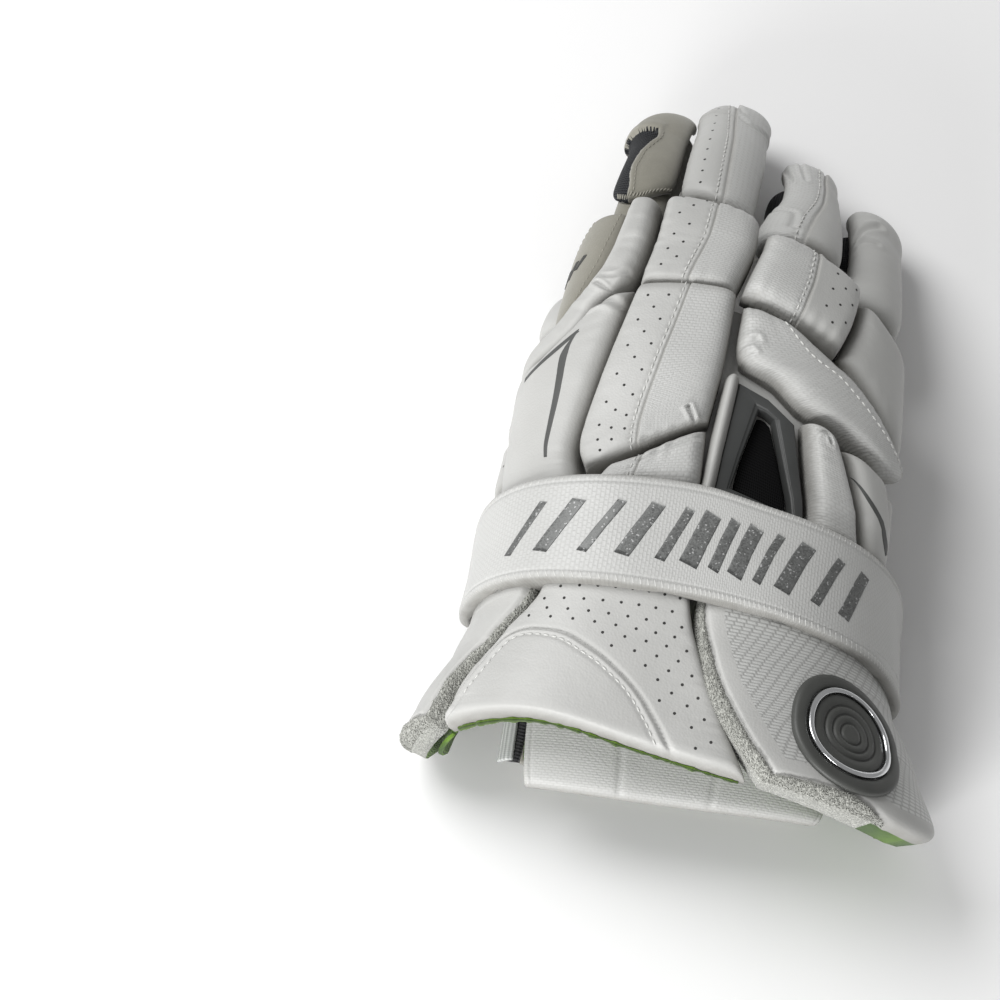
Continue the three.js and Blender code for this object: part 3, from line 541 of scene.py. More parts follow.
class Recipe:
    def __init__(self, name, **shine):
        self.material = bpy.data.materials.new(name)
        self.material.use_nodes = True
        self.tree = self.material.node_tree
        self.tree.nodes.clear()
        self.shader = self.tree.nodes.new("ShaderNodeBsdfPrincipled")
        output = self.tree.nodes.new("ShaderNodeOutputMaterial")
        self.tree.links.new(self.shader.outputs[0], output.inputs[0])
        for socket, value in shine.items():
            self.shader.inputs[socket.replace("_", " ")].default_value = value

    def node(self, kind, settings, *values, out=0, **named):
        node = self.tree.nodes.new(kind)
        for key, value in settings.items():
            if key == "stops":
                while len(node.color_ramp.elements) < len(value):
                    node.color_ramp.elements.new(0.5)
                for element, (place, colour) in zip(node.color_ramp.elements, value):
                    element.position, element.color = place, colour
            else:
                setattr(node, key, value)
        slots = list(enumerate(values)) + [(key.replace("_", " "), value) for key, value in named.items()]
        for slot, value in slots:
            if isinstance(value, Field):
                self.tree.links.new(value.socket, node.inputs[slot])
            else:
                node.inputs[slot].default_value = value
        return Field(self, node.outputs[out])

    def place(self):
        return self.node("ShaderNodeTexCoord", {}, out="Object")

    def cloth(self):
        # own UV map in millimetres, as u and v
        split = self.node("ShaderNodeSeparateXYZ", {}, self.node("ShaderNodeUVMap", {"uv_map": "UVMap"}))
        v = Field(self, split.socket.node.outputs[1])
        return split * 1000, v * 1000

    def held(self, name):
        return self.node("ShaderNodeAttribute", {"attribute_name": name}, out="Fac")

    def noise(self, size, detail=2.0, rough=0.5, vector=None):
        # size of the features in millimetres
        vector = vector or self.place()
        return self.node("ShaderNodeTexNoise", {}, vector, Scale=1000 / size, Detail=detail, Roughness=rough)

    def cells(self, size, feature="F1", out="Distance"):
        return self.node("ShaderNodeTexVoronoi", {"feature": feature}, self.place(), Scale=1000 / size,
                         out=out)

    def tint(self, factor, first, second):
        node = self.tree.nodes.new("ShaderNodeMix")
        node.data_type = "RGBA"
        if isinstance(factor, Field):
            self.tree.links.new(factor.socket, node.inputs[0])
        else:
            node.inputs[0].default_value = factor
        for slot, value in zip((6, 7), (first, second)):
            if isinstance(value, Field):
                self.tree.links.new(value.socket, node.inputs[slot])
            else:
                node.inputs[slot].default_value = (*value, 1.0)
        return Field(self, node.outputs[2])

    def relief(self, height):
        # height in millimetres
        node = self.tree.nodes.new("ShaderNodeBump")
        node.inputs["Strength"].default_value = 1.0
        node.inputs["Distance"].default_value = 0.001
        self.tree.links.new(height.socket, node.inputs["Height"])
        self.tree.links.new(node.outputs[0], self.shader.inputs["Normal"])

    def finish(self, colour, roughness, height=None, metallic=None):
        for slot, value in (("Base Color", colour), ("Roughness", roughness), ("Metallic", metallic)):
            if isinstance(value, Field):
                self.tree.links.new(value.socket, self.shader.inputs[slot])
            elif value is not None:
                self.shader.inputs[slot].default_value = value
        if height is not None:
            self.relief(height)
        return self.material


# crease is the colour of the painted shade along pad edges and seams
leatherLook = {"bright": (0.52, 0.52, 0.505), "dull": (0.44, 0.44, 0.425), "crease": (0.17, 0.16, 0.14),
               "grain": 0.05, "fold": 0.16, "rough": 0.42}


def leather(name, woven=0.0, dashLength=2.6, dashHeight=1.15, slant=0.5, look=leatherLook,
            dashTint=(0.60, 0.605, 0.595)):
    r = Recipe(name, IOR=1.48, Coat_Weight=0.10, Coat_Roughness=0.35)
    patches = r.noise(28, 3)
    colour = r.tint(patches, look["dull"], look["bright"])
    creases = r.held("edge")
    # painted shade: the leather darkens towards its crease colour along pad edges and seams, where the pads roll
    # into their gaps
    paintedEdgeShade = creases * creases * (0.35 + r.noise(6, 3) * 0.5)
    grain = r.cells(0.9)
    folds = r.noise(9, 3, 0.55)
    rough = look["rough"] + r.noise(3.5, 2) * 0.16 + creases * 0.15
    height = grain * look["grain"] + folds * look["fold"]
    if woven:
        u, v = r.cloth()
        row = v / dashHeight
        inRow = (row.fract() * 2 - 1).size()
        column = (u / dashLength + row.floor() * slant).fract() * 2 - 1
        dash = (1.12 - inRow * inRow * 1.12).within(0, 1) * (1.25 - column.size() ** 3 * 1.25).within(0, 1)
        colour = r.tint(dash * woven, colour, dashTint)
        height = height + dash * 0.13 * woven
        rough = rough - dash * 0.12 * woven
    colour = r.tint(paintedEdgeShade, colour, look["crease"])
    return r.finish(colour, rough, height)


def suede(name, light=(0.33, 0.315, 0.265), dark=(0.20, 0.19, 0.155)):
    r = Recipe(name, Sheen_Weight=0.35, Sheen_Roughness=0.6)
    nap = r.noise(0.7, 3, 0.7)
    brushed = r.noise(7, 3, 0.6)
    colour = r.tint((nap * 0.6 + brushed * 0.5 - 0.05).within(0, 1), dark, light)
    # painted shade: the suede darkens along pad edges and seams
    colour = r.tint(r.held("edge") * 0.5, colour, (0.09, 0.085, 0.07))
    return r.finish(colour, 0.9 + nap * 0.08, nap * 0.14 + brushed * 0.12)


def netting(name, thread=(0.035, 0.037, 0.04), openingShade=(0.004, 0.004, 0.005), pitch=1.5):
    # the net's openings are painted near black: painted shade seen through the mesh
    r = Recipe(name, Specular_IOR_Level=0.15)
    u, v = r.cloth()
    a = ((u + v * 0.5) * (2 * math.pi / pitch)).sine()
    b = ((u - v * 0.5) * (2 * math.pi / pitch)).sine()
    open_ = (a * b * 1.6 + 0.1).within(0, 1)
    colour = r.tint(open_, thread, openingShade)
    return r.finish(r.tint(r.noise(5, 2) * 0.3, colour, thread), 0.62 + open_ * 0.3, 0.25 - open_ * 0.25)


def moulded(name, colour, shade, rough, grain=0.02, **shine):
    r = Recipe(name, **shine)
    speck = r.noise(0.6, 2)
    cloud = r.noise(12, 2)
    return r.finish(r.tint(cloud, shade, colour), rough + speck * 0.12, speck * grain)


def ribbed(name, light, dark, pitch, deep=0.35, along=False, rough=0.8):
    # colour darkens into the troughs between the ribs, where the bump is low: painted shade
    r = Recipe(name, Sheen_Weight=0.2)
    u, v = r.cloth()
    across = u if along else v
    wave = (across * (2 * math.pi / pitch) + r.noise(4, 2) * 1.2).sine() * 0.5 + 0.5
    knit = ((u if not along else v) * (2 * math.pi / (pitch * 0.55))).sine() * 0.5 + 0.5
    lightness = (wave * 0.75 + knit * wave * 0.25) * (0.75 + r.noise(8, 2) * 0.5)
    colour = r.tint(lightness.within(0, 1), dark, light)
    return r.finish(colour, rough + wave * 0.1, wave * deep + knit * 0.06)


def terry(name):
    r = Recipe(name, Sheen_Weight=0.3)
    loops = r.cells(0.75)
    tufts = r.noise(2.2, 4, 0.7)
    # painted glint: bright specks where the light catches the loops of the terry
    paintedGlint = (r.noise(0.45, 2) - 0.62).within(0, 1) * 4
    colour = r.tint((loops * 0.9 + tufts * 0.5 - 0.25).within(0, 1), (0.17, 0.172, 0.155),
                    (0.56, 0.565, 0.52))
    colour = r.tint(paintedGlint.within(0, 1), colour, (0.85, 0.85, 0.82))
    return r.finish(colour, 0.55 + tufts * 0.3, loops * 0.5 + tufts * 0.6)


def glitter(name):
    r = Recipe(name, IOR=1.5)
    flakes = r.cells(0.55, out="Color")
    bright = r.node("ShaderNodeSeparateColor", {}, flakes)
    broad = r.noise(9, 2)
    colour = r.tint((bright * 0.7 + broad * 0.3).within(0, 1), (0.075, 0.077, 0.075), (0.24, 0.245, 0.24))
    colour = r.tint((bright > 0.96) * 0.5, colour, (0.75, 0.75, 0.75))
    return r.finish(colour, 0.34 + bright * 0.3, bright * 0.06, metallic=0.25 + bright * 0.4)


def polished(name):
    r = Recipe(name, IOR=2.0)
    smear = r.noise(5, 3)
    return r.finish(r.tint(smear, (0.62, 0.63, 0.64), (0.80, 0.81, 0.82)), 0.10 + smear * 0.12,
                    smear * 0.01, 1.0)


def groundCloth(name):
    r = Recipe(name)
    soft = r.noise(120, 2)
    return r.finish(r.tint(soft, (0.95, 0.95, 0.95), (0.97, 0.97, 0.97)), 0.75 + soft * 0.1)


smoothLeather = leather("leather_smooth")
wovenLeather = leather("leather_woven", woven=0.55, dashLength=2.4, dashHeight=1.0, slant=0.5)
strapLeather = leather("leather_strap", woven=0.45, dashLength=2.2, dashHeight=0.95, slant=0.5)
# The twill leather is set darker than the other leather: painted shade for the little side of the cuff, which
# faces away from the light. Its lighter dashes are its woven pattern.
shadedTwillLook = {**leatherLook, "bright": (0.36, 0.36, 0.35), "dull": (0.30, 0.30, 0.29)}
shadedTwillLeather = leather("leather_twill_shaded", woven=1.0, dashLength=3.4, dashHeight=1.5, slant=0.28, look=shadedTwillLook,
                       dashTint=(0.55, 0.555, 0.54))
greySuede = suede("suede_grey", (0.30, 0.288, 0.237), (0.19, 0.18, 0.147))
palmSuede = suede("suede_palm", (0.36, 0.345, 0.30), (0.24, 0.23, 0.195))
darkNet = netting("net_dark")
ventNet = netting("net_vent", (0.0035, 0.0035, 0.004), (0.001, 0.001, 0.001), 1.2)
ventPlastic = moulded("plastic_vent", (0.060, 0.062, 0.061), (0.042, 0.044, 0.043), 0.40)
greyFilm = moulded("film_grey", (0.085, 0.087, 0.084), (0.06, 0.062, 0.06), 0.45)
darkFilm = moulded("film_dark", (0.06, 0.06, 0.057), (0.04, 0.04, 0.038), 0.5)
# the lining's light and dark greens are the green lit and in shade, painted onto the rib crests and troughs
greenRib = ribbed("lining_green", (0.13, 0.25, 0.012), (0.03, 0.075, 0.003), 1.5)
greenEdge = ribbed("binding_green", (0.12, 0.22, 0.012), (0.02, 0.05, 0.002), 0.9, 0.2, rough=0.9)
blackElastic = ribbed("elastic_black", (0.022, 0.022, 0.024), (0.004, 0.004, 0.005), 1.1, 0.25)
greyWebbing = ribbed("webbing_grey", (0.60, 0.62, 0.60), (0.34, 0.35, 0.34), 1.4, 0.25, along=True)
terryCloth = terry("terry_edge")
silverPrint = glitter("print_silver")
whiteThread = moulded("thread_white", (0.68, 0.68, 0.66), (0.54, 0.54, 0.52), 0.55, 0.03)
greyThread = moulded("thread_grey", (0.40, 0.385, 0.33), (0.30, 0.29, 0.25), 0.7, 0.03)
# dark discs over the punched holes: painted shade inside each hole
holeShade = moulded("hole_shade", (0.05, 0.048, 0.045), (0.02, 0.02, 0.02), 0.8)
darkRubber = moulded("rubber_dark", (0.075, 0.077, 0.072), (0.05, 0.052, 0.048), 0.42, 0.03)
chromeRing = polished("chrome_ring")
print("materials ready")


# repeats by Geometry Nodes
def fittedTree(name, inputs):
    tree = bpy.data.node_groups.new(name, "GeometryNodeTree")
    tree.interface.new_socket("Geometry", in_out="INPUT", socket_type="NodeSocketGeometry")
    tree.interface.new_socket("Geometry", in_out="OUTPUT", socket_type="NodeSocketGeometry")
    for label, (kind, value) in inputs.items():
        socket = tree.interface.new_socket(label, in_out="INPUT", socket_type=kind)
        if kind != "NodeSocketMaterial":
            socket.default_value = value
    return tree, tree.nodes.new("NodeGroupInput"), tree.nodes.new("NodeGroupOutput")


def chain(tree, kind, settings=None, **links):
    node = tree.nodes.new(kind)
    for key, value in (settings or {}).items():
        setattr(node, key, value)
    for key, value in links.items():
        socket = node.inputs[key.replace("_", " ")]
        if isinstance(value, bpy.types.NodeSocket):
            tree.links.new(value, socket)
        else:
            socket.default_value = value
    return node


def runTree(holder, tree, values, name):
    modifier = holder.modifiers.new("Build", "NODES")
    modifier.node_group = tree
    for item in tree.interface.items_tree:
        if item.in_out == "INPUT" and item.name in values:
            modifier[item.identifier] = values[item.name]
    graph = bpy.context.evaluated_depsgraph_get()
    graph.update()
    mesh = bpy.data.meshes.new_from_object(holder.evaluated_get(graph))
    mesh.name = name
    holder.modifiers.remove(modifier)
    bpy.data.objects.remove(holder)
    piece = bpy.data.objects.new(name, mesh)
    bpy.context.scene.collection.objects.link(piece)
    return piece


def stitchTree():
    # small rounded stitches along a path
    tree, given, result = fittedTree("Stitches", {
        "Pitch": ("NodeSocketFloat", 0.0031), "Length": ("NodeSocketFloat", 0.0022),
        "Thickness": ("NodeSocketFloat", 0.0006), "Slant": ("NodeSocketFloat", 0.0),
        "Material": ("NodeSocketMaterial", None)})
    spots = chain(tree, "GeometryNodeCurveToPoints", {"mode": "LENGTH"}, Curve=given.outputs["Geometry"],
                  Length=given.outputs["Pitch"])
    ball = chain(tree, "GeometryNodeMeshUVSphere", Segments=8, Rings=5, Radius=0.5)
    size = chain(tree, "ShaderNodeCombineXYZ", X=given.outputs["Length"], Y=given.outputs["Thickness"],
                 Z=given.outputs["Thickness"])
    shaped = chain(tree, "GeometryNodeTransform", Geometry=ball.outputs[0], Scale=size.outputs[0])
    lean = chain(tree, "ShaderNodeCombineXYZ", Z=given.outputs["Slant"])
    turned = chain(tree, "GeometryNodeTransform", Geometry=shaped.outputs[0], Rotation=lean.outputs[0])
    facing = chain(tree, "FunctionNodeAlignRotationToVector", {"axis": "X"}, Vector=spots.outputs["Tangent"])
    placed = chain(tree, "GeometryNodeInstanceOnPoints", Points=spots.outputs["Points"],
                   Instance=turned.outputs[0], Rotation=facing.outputs[0])
    real = chain(tree, "GeometryNodeRealizeInstances", Geometry=placed.outputs[0])
    smooth = chain(tree, "GeometryNodeSetShadeSmooth", Geometry=real.outputs[0])
    done = chain(tree, "GeometryNodeSetMaterial", Geometry=smooth.outputs[0],
                 Material=given.outputs["Material"])
    tree.links.new(done.outputs[0], result.inputs[0])
    return tree


def markTree(name, punched):
    # a small round mark, or a thread laid across an edge, on every point by its own direction
    size = {"Radius": ("NodeSocketFloat", 0.0005)} if punched else {
        "Length": ("NodeSocketFloat", 0.0024), "Thickness": ("NodeSocketFloat", 0.0005)}
    tree, given, result = fittedTree(name, {**size, "Material": ("NodeSocketMaterial", None)})
    if punched:
        shape = chain(tree, "GeometryNodeMeshCircle", {"fill_type": "NGON"}, Vertices=10,
                      Radius=given.outputs["Radius"])
    else:
        ball = chain(tree, "GeometryNodeMeshUVSphere", Segments=8, Rings=5, Radius=0.5)
        scale = chain(tree, "ShaderNodeCombineXYZ", X=given.outputs["Length"], Y=given.outputs["Thickness"],
                      Z=given.outputs["Thickness"])
        shape = chain(tree, "GeometryNodeTransform", Geometry=ball.outputs[0], Scale=scale.outputs[0])
    facing = chain(tree, "GeometryNodeInputNamedAttribute", {"data_type": "FLOAT_VECTOR"}, Name="facing")
    turn = chain(tree, "FunctionNodeAlignRotationToVector", {"axis": "Z" if punched else "X"},
                 Vector=facing.outputs[0])
    placed = chain(tree, "GeometryNodeInstanceOnPoints", Points=given.outputs["Geometry"],
                   Instance=shape.outputs[0], Rotation=turn.outputs[0])
    real = chain(tree, "GeometryNodeRealizeInstances", Geometry=placed.outputs[0])
    smooth = chain(tree, "GeometryNodeSetShadeSmooth", Geometry=real.outputs[0])
    done = chain(tree, "GeometryNodeSetMaterial", Geometry=smooth.outputs[0],
                 Material=given.outputs["Material"])
    tree.links.new(done.outputs[0], result.inputs[0])
    return tree


def pileTree():
    # short bent loops of pile standing on the faces marked as pile
    tree, given, result = fittedTree("TerryPile", {
        "Density": ("NodeSocketFloat", 1.0e6), "Height": ("NodeSocketFloat", 0.001),
        "Seed": ("NodeSocketInt", 4), "Material": ("NodeSocketMaterial", None)})
    spots = chain(tree, "GeometryNodeDistributePointsOnFaces", Mesh=given.outputs["Geometry"],
                  Density=given.outputs["Density"], Seed=given.outputs["Seed"])
    tuft = chain(tree, "GeometryNodeMeshIcoSphere", Radius=0.5, Subdivisions=1)
    size = chain(tree, "ShaderNodeCombineXYZ", X=0.0005, Y=0.0005, Z=given.outputs["Height"])
    shaped = chain(tree, "GeometryNodeTransform", Geometry=tuft.outputs[0], Scale=size.outputs[0])
    lean = chain(tree, "FunctionNodeRandomValue", {"data_type": "FLOAT_VECTOR"}, Seed=given.outputs["Seed"])
    lean.inputs[0].default_value, lean.inputs[1].default_value = (-0.9, -0.9, 0), (0.9, 0.9, 6.28)
    placed = chain(tree, "GeometryNodeInstanceOnPoints", Points=spots.outputs["Points"],
                   Instance=shaped.outputs[0], Rotation=spots.outputs["Rotation"])
    bent = chain(tree, "GeometryNodeRotateInstances", Instances=placed.outputs[0], Rotation=lean.outputs[0])
    real = chain(tree, "GeometryNodeRealizeInstances", Geometry=bent.outputs[0])
    smooth = chain(tree, "GeometryNodeSetShadeSmooth", Geometry=real.outputs[0])
    done = chain(tree, "GeometryNodeSetMaterial", Geometry=smooth.outputs[0],
                 Material=given.outputs["Material"])
    tree.links.new(done.outputs[0], result.inputs[0])
    return tree


stitchesTree, pilesTree = stitchTree(), pileTree()
holesTree, whipTree = markTree("PunchedHoles", True), markTree("EdgeThreads", False)


def stitched(name, paths, material, pitch=3.3, length=2.5, thickness=0.75, slant=0.0):
    data = bpy.data.curves.new(name, "CURVE")
    data.dimensions = "3D"
    for path in paths:
        points = intoFrame(path)
        spline = data.splines.new("POLY")
        spline.points.add(len(points) - 1)
        spline.points.foreach_set("co", np.c_[points, np.ones(len(points))].ravel())
    holder = bpy.data.objects.new(name, data)
    bpy.context.scene.collection.objects.link(holder)
    values = {"Pitch": pitch / 1000, "Length": length / 1000, "Thickness": thickness / 1000, "Slant": slant,
              "Material": material}
    piece = runTree(holder, stitchesTree, values, name)
    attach(piece, "root")
    return piece


def marked(name, tree, points, facing, values):
    mesh = bpy.data.meshes.new(name)
    mesh.from_pydata(intoFrame(points).tolist(), [], [])
    layer = mesh.attributes.new("facing", "FLOAT_VECTOR", "POINT")
    layer.data.foreach_set("vector", np.asarray(facing, dtype=np.float32).ravel())
    holder = bpy.data.objects.new(name, mesh)
    bpy.context.scene.collection.objects.link(holder)
    piece = runTree(holder, tree, values, name)
    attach(piece, "root")
    return piece


def ready(piece, node, slot, fill=None, *more):
    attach(piece, "root")
    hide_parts(node, *more)
    return piece


threads, greyThreads, holeSpots = [], [], []


def sewSeam(pad, side, low=-0.97, high=0.97):
    v = np.linspace(low, high, 90)
    threads.append(pad.at(pad.seamU(v, side * 2.45), v, 0.12))


# pads on the back of the hand
backPads = {
    "middle_long_pad": dict(
        rows=[[[-0.405, 0.045], [-0.012, 0.225]], [[-0.43, 0.15], [-0.002, 0.31]],
              [[-0.375, 0.40], [0.012, 0.43]], [[-0.325, 0.641], [0.02, 0.64]]],
        seam=[0.44, 0.478, 0.488, 0.533], skins=("smooth", "woven"), holes=True, round=(3, 8),
        roundEnds=(4, 2.5),
        corner=0.06, rim=0.45, gathers={"left": 0.5, "start": 1.5, "right": 0.6}, size=(84, 130),
        creases=[([(-0.084, 0.247), (-0.055, 0.209), (-0.024, 0.188)], 1.7, 0.6)]),
    "middle_wedge_pad": dict(
        rows=[[[-0.37, 0.015], [-0.012, 0.02]], [[-0.33, 0.05], [-0.014, 0.20]]],
        seam=[0.38, 0.40], skins=("woven", "woven"), round=(4, 7), roundEnds=4, corner=0.08,
        gathers={"end": 1.5, "left": 0.6, "right": 0.8}, size=(70, 48),
        creases=[([(-0.219, 0.072), (-0.132, 0.12), (-0.03, 0.163)], 0.6, 0.9)]),
    "middle_mid_roll": dict(
        rows=[[[-0.332, 0.645], [0.012, 0.644]], [[-0.305, 0.80], [0.055, 0.78]],
              [[-0.285, 0.985], [0.085, 0.915]]],
        seam=[0.515, 0.54, 0.565], skins=("smooth", "woven"), holes=True, round=(5, 9), roundEnds=(2.5, 5),
        corner=0.08, gathers={"left": 1.2, "right": 0.6, "start": 0.4, "end": 0.8}, size=(80, 80)),
    "ring_mid_roll": dict(
        rows=[[[0.04, 0.645], [0.235, 0.585], [0.41, 0.525]], [[0.08, 0.755], [0.27, 0.705], [0.455, 0.645]],
              [[0.115, 0.875], [0.30, 0.835], [0.485, 0.765]]],
        seam=[0.54, 0.54, 0.50], skins=("woven", "smooth"), holes=True, stitchSide=-1, round=(7, 6),
        roundEnds=(5, 7), corner=0.1, gathers={"start": 1.1, "end": 0.8, "left": 0.8, "right": 0.5},
        size=(84, 80)),
    "ring_diagonal_pad": dict(
        rows=[[[0.055, 0.615], [0.235, 0.56]], [[0.07, 0.44], [0.385, 0.49]], [[0.205, 0.385], [0.49, 0.445]],
              [[0.305, 0.325], [0.60, 0.385]], [[0.46, 0.285], [0.74, 0.315]], [[0.72, 0.215], [0.92, 0.25]]],
        skins=("woven",), hem="right", round=(6, 7), roundEnds=5, corner=0.08,
        gathers={"left": 1.1, "start": 1.0, "right": 0.6}, size=(70, 130),
        creases=[([(0.045, 0.427), (0.102, 0.441)], 1.3, 0.7), ([(0.05, 0.454), (0.113, 0.482)], 1.0, 0.8)]),
    "ring_wedge_pad": dict(
        rows=[[[0.405, -0.02], [0.60, -0.03]], [[0.325, 0.285], [0.425, 0.265]]],
        skins=("woven",), round=(4, 5), roundEnds=4, corner=0.08,
        gathers={"left": 0.9, "right": 0.5, "end": 0.9},
        size=(50, 74), creases=[([(0.32, 0.22), (0.353, 0.25), (0.385, 0.25), (0.40, 0.225)], 1.0, 0.7)]),
    "pinky_back_pad": dict(
        rows=[[[0.625, -0.03], [0.80, -0.03]], [[0.475, 0.24], [0.71, 0.185]]],
        skins=("smooth",), round=4, corner=0.06, gathers={"end": 0.5}, size=(44, 60)),
    "pinky_side_pad": dict(
        rows=[[[0.825, -0.03], [1.20, -0.03]], [[0.79, 0.09], [1.20, 0.09]],
              [[0.745, 0.185], [0.96, 0.21], [1.20, 0.255]]],
        skins=("smooth",), depth=sizes["sidePad"], round=5, corner=0.08, gathers={"end": 0.7}, size=(50, 60)),
    "pinky_mid_pad": dict(
        rows=[[[0.438, 0.53], [0.635, 0.42], [0.80, 0.35], [1.10, 0.29]],
              [[0.488, 0.635], [0.70, 0.54], [1.04, 0.47]], [[0.51, 0.735], [0.66, 0.68], [0.95, 0.63]]],
        skins=("smooth",), depth=sizes["sidePad"], round=6, corner=0.08, gathers={"start": 0.6, "left": 0.6},
        size=(70, 70)),
    "index_knuckle_pad": dict(
        rows=[[[-0.43, 0.975], [-0.325, 0.965]], [[-0.465, 0.82], [-0.335, 0.82]],
              [[-0.505, 0.70], [-0.37, 0.665]],
              [[-0.60, 0.60], [-0.455, 0.595]], [[-0.73, 0.53], [-0.605, 0.455]],
              [[-1.10, 0.45], [-1.10, 0.36]]],
        skins=("smooth",), round=(13, 4), roundEnds=(2, 4), corner=0.04, rim=0.4,
        gathers={"right": 1.0, "end": 0.2, "start": 0.8, "left": 0.5}, size=(60, 140),
        creases=[([(-0.475, 0.645), (-0.413, 0.625), (-0.35, 0.64)], 1.2, 0.7),
                 ([(-0.47, 0.665), (-0.42, 0.66), (-0.37, 0.68)], 0.7, 0.8)]),
    "index_back_pad": dict(
        rows=[[[-1.10, -0.02], [-0.435, 0.02]], [[-1.10, 0.16], [-0.46, 0.14]],
              [[-1.10, 0.30], [-0.405, 0.40]],
              [[-1.10, 0.345], [-0.83, 0.393], [-0.635, 0.43], [-0.535, 0.50], [-0.455, 0.58],
               [-0.355, 0.63]]],
        skins=("smooth",), round=(5, 5), roundEnds=(4, 2), corner=0.03, rim=0.45,
        gathers={"end": 0.7, "right": 0.4, "start": 0.5},
        size=(90, 120), creases=[([(-0.455, 0.575), (-0.41, 0.585), (-0.37, 0.57)], 1.1, 0.8)]),
}
skinOf = {"smooth": smoothLeather, "woven": wovenLeather}
pads = {}
for seed, (name, look) in enumerate(backPads.items()):
    own = {key: value for key, value in look.items() if key not in ("rows", "skins", "holes", "hem")}
    pad = pads[name] = Pad(handPoint, look["rows"], seed=seed + 1, **own)
    skins = [skinOf[kind] for kind in look["skins"]]
    ready(pad.build(name + "_cover", skins), name, "leather_white", 0.7)
    if look.get("seam"):
        sewSeam(pad, pad.look["stitchSide"])
    if look.get("holes"):
        onLeft = look["skins"][0] == "smooth"
        holeSpots.append(pad.holes((8.6, 4.3), lambda u, v, ds, p: (ds < -4.6) if onLeft else (ds > 4.5)))
    if look.get("hem"):
        v = np.linspace(-0.9, 0.9, 90)
        threads.append(pad.at(1 - 15 / pad.width + 0 * v, v, 0.1))
print("back pads made")

# fingers and thumb
fingerRolls = {
    "middle_tip_roll": dict(
        finger="middle", rows=[[[-0.31, 0.425], [0.36, 0.355]], [[-0.30, 0.68], [0.33, 0.66]],
                               [[-0.28, 0.965], [0.27, 0.965]]],
        seam=[0.573, 0.543, 0.47], skins=("smooth", "woven"), holes=True,
        gathers={"left": 0.6, "right": 0.7, "start": 0.6},
        creases=[([(-0.30, 0.89), (-0.13, 0.854), (0.015, 0.82), (0.117, 0.785), (0.26, 0.81)], 0.9, 0.8),
                 ([(-0.213, 0.90), (-0.129, 0.925), (-0.027, 0.915), (0.045, 0.85)], 0.5, 0.7)]),
    "ring_tip_roll": dict(
        finger="ring", rows=[[[-0.42, 0.40], [0.40, 0.32]], [[-0.34, 0.47], [0.39, 0.45]],
                             [[-0.13, 0.62], [0.37, 0.64]], [[-0.10, 0.965], [0.34, 0.965]]],
        seam=[0.57, 0.605, 0.62, 0.69], skins=("woven", "smooth"),
        gathers={"left": 1.2, "start": 0.9, "end": 0.5},
        creases=[([(-0.078, 0.90), (-0.048, 0.70)], 1.0, 0.7), ([(0.038, 0.93), (0.059, 0.72)], 0.8, 0.7),
                 ([(-0.19, 0.53), (-0.132, 0.511), (-0.039, 0.475), (-0.06, 0.40)], 0.9, 0.7)]),
    "pinky_tip_roll": dict(
        finger="pinky", rows=[[[-0.25, 0.36], [0.56, 0.32]], [[-0.07, 0.55], [0.55, 0.58]],
                              [[-0.06, 0.965], [0.46, 0.965]]],
        skins=("smooth",), gathers={"left": 1.3, "start": 0.5},
        creases=[([(-0.06, 0.68), (0.044, 0.769), (0.16, 0.825)], 1.1, 0.8),
                 ([(-0.08, 0.64), (0.042, 0.695), (0.14, 0.70)], 0.9, 0.7)]),
    "thumb_base_pad": dict(finger="thumb", rows=[[[-0.80, 0.10], [0.10, 0.10]],
                                                 [[-0.80, 0.30], [0.08, 0.36]]],
                           skins=("smooth",), holes=True),
    "thumb_side_pad": dict(finger="thumb", rows=[[[-0.82, 0.34], [0.06, 0.40]],
                                                 [[-0.82, 0.54], [0.04, 0.56]]],
                           skins=("smooth",), holes=True),
    "thumb_mid_pad": dict(finger="thumb", rows=[[[-0.82, 0.58], [0.02, 0.60]], [[-0.80, 0.77], [0.02, 0.77]]],
                          skins=("smooth",), holes=True),
    "thumb_tip_roll": dict(finger="thumb", rows=[[[-0.80, 0.81], [0.04, 0.81]],
                                                 [[-0.72, 0.965], [0.10, 0.965]]],
                           skins=("smooth",), gathers={"start": 1.0, "end": 0.5}),
}


def tipFold(pad, u, v, place):
    # the crease across the roll where the finger bends, and the fold near its tip
    f, _ = pad.shares(u, v)
    return -0.6 * hump((f - 0.80) * pad.length, 1.2) + 0.4 * hump((f - 0.86) * pad.length, 2.4)


for seed, (name, look) in enumerate(fingerRolls.items()):
    own = {key: value for key, value in look.items() if key not in ("rows", "skins", "holes", "finger")}
    onThumb = look["finger"] == "thumb"
    own.update(depth=7 if onThumb else sizes["tip"], base=0.32 if onThumb else 1.0, lift=tipLift, round=7,
               roundEnds=5 if onThumb else 8, size=(64, 40 if onThumb else 96), seed=seed + 30, grow=0.4)
    if onThumb:
        own["extra"] = tipFold
    pad = pads[name] = Pad(fingers[look["finger"]], look["rows"], **own)
    ready(pad.build(name + "_cover", [skinOf[kind] for kind in look["skins"]]), name, "leather_white", 0.7)
    if look.get("seam"):
        sewSeam(pad, -1)
    if look.get("holes"):
        holeSpots.append(pad.holes((8.2, 4.3), lambda u, v, ds, p: (ds < -4.2) | (p.look["seam"] is None)))

capRows = [[[-0.62, 0.60], [-0.36, 0.50], [-0.08, 0.455], [0.27, 0.54]], [[-0.60, 0.70], [0.22, 0.70]],
           [[-0.56, 0.965], [0.18, 0.965]]]


def cutAway(g, f):
    # millimetres inside the part where the suede is cut away on the thumb side
    lip = np.interp(f, [0, 0.065, 0.26, 0.42, 0.584, 0.667], [0.60, 0.59, 0.53, 0.54, 0.645, 0.635])
    return np.minimum((lip - g) * 44, (0.667 + 0.33 * np.clip(0.655 - g, -0.1, 1) - f) * 30)


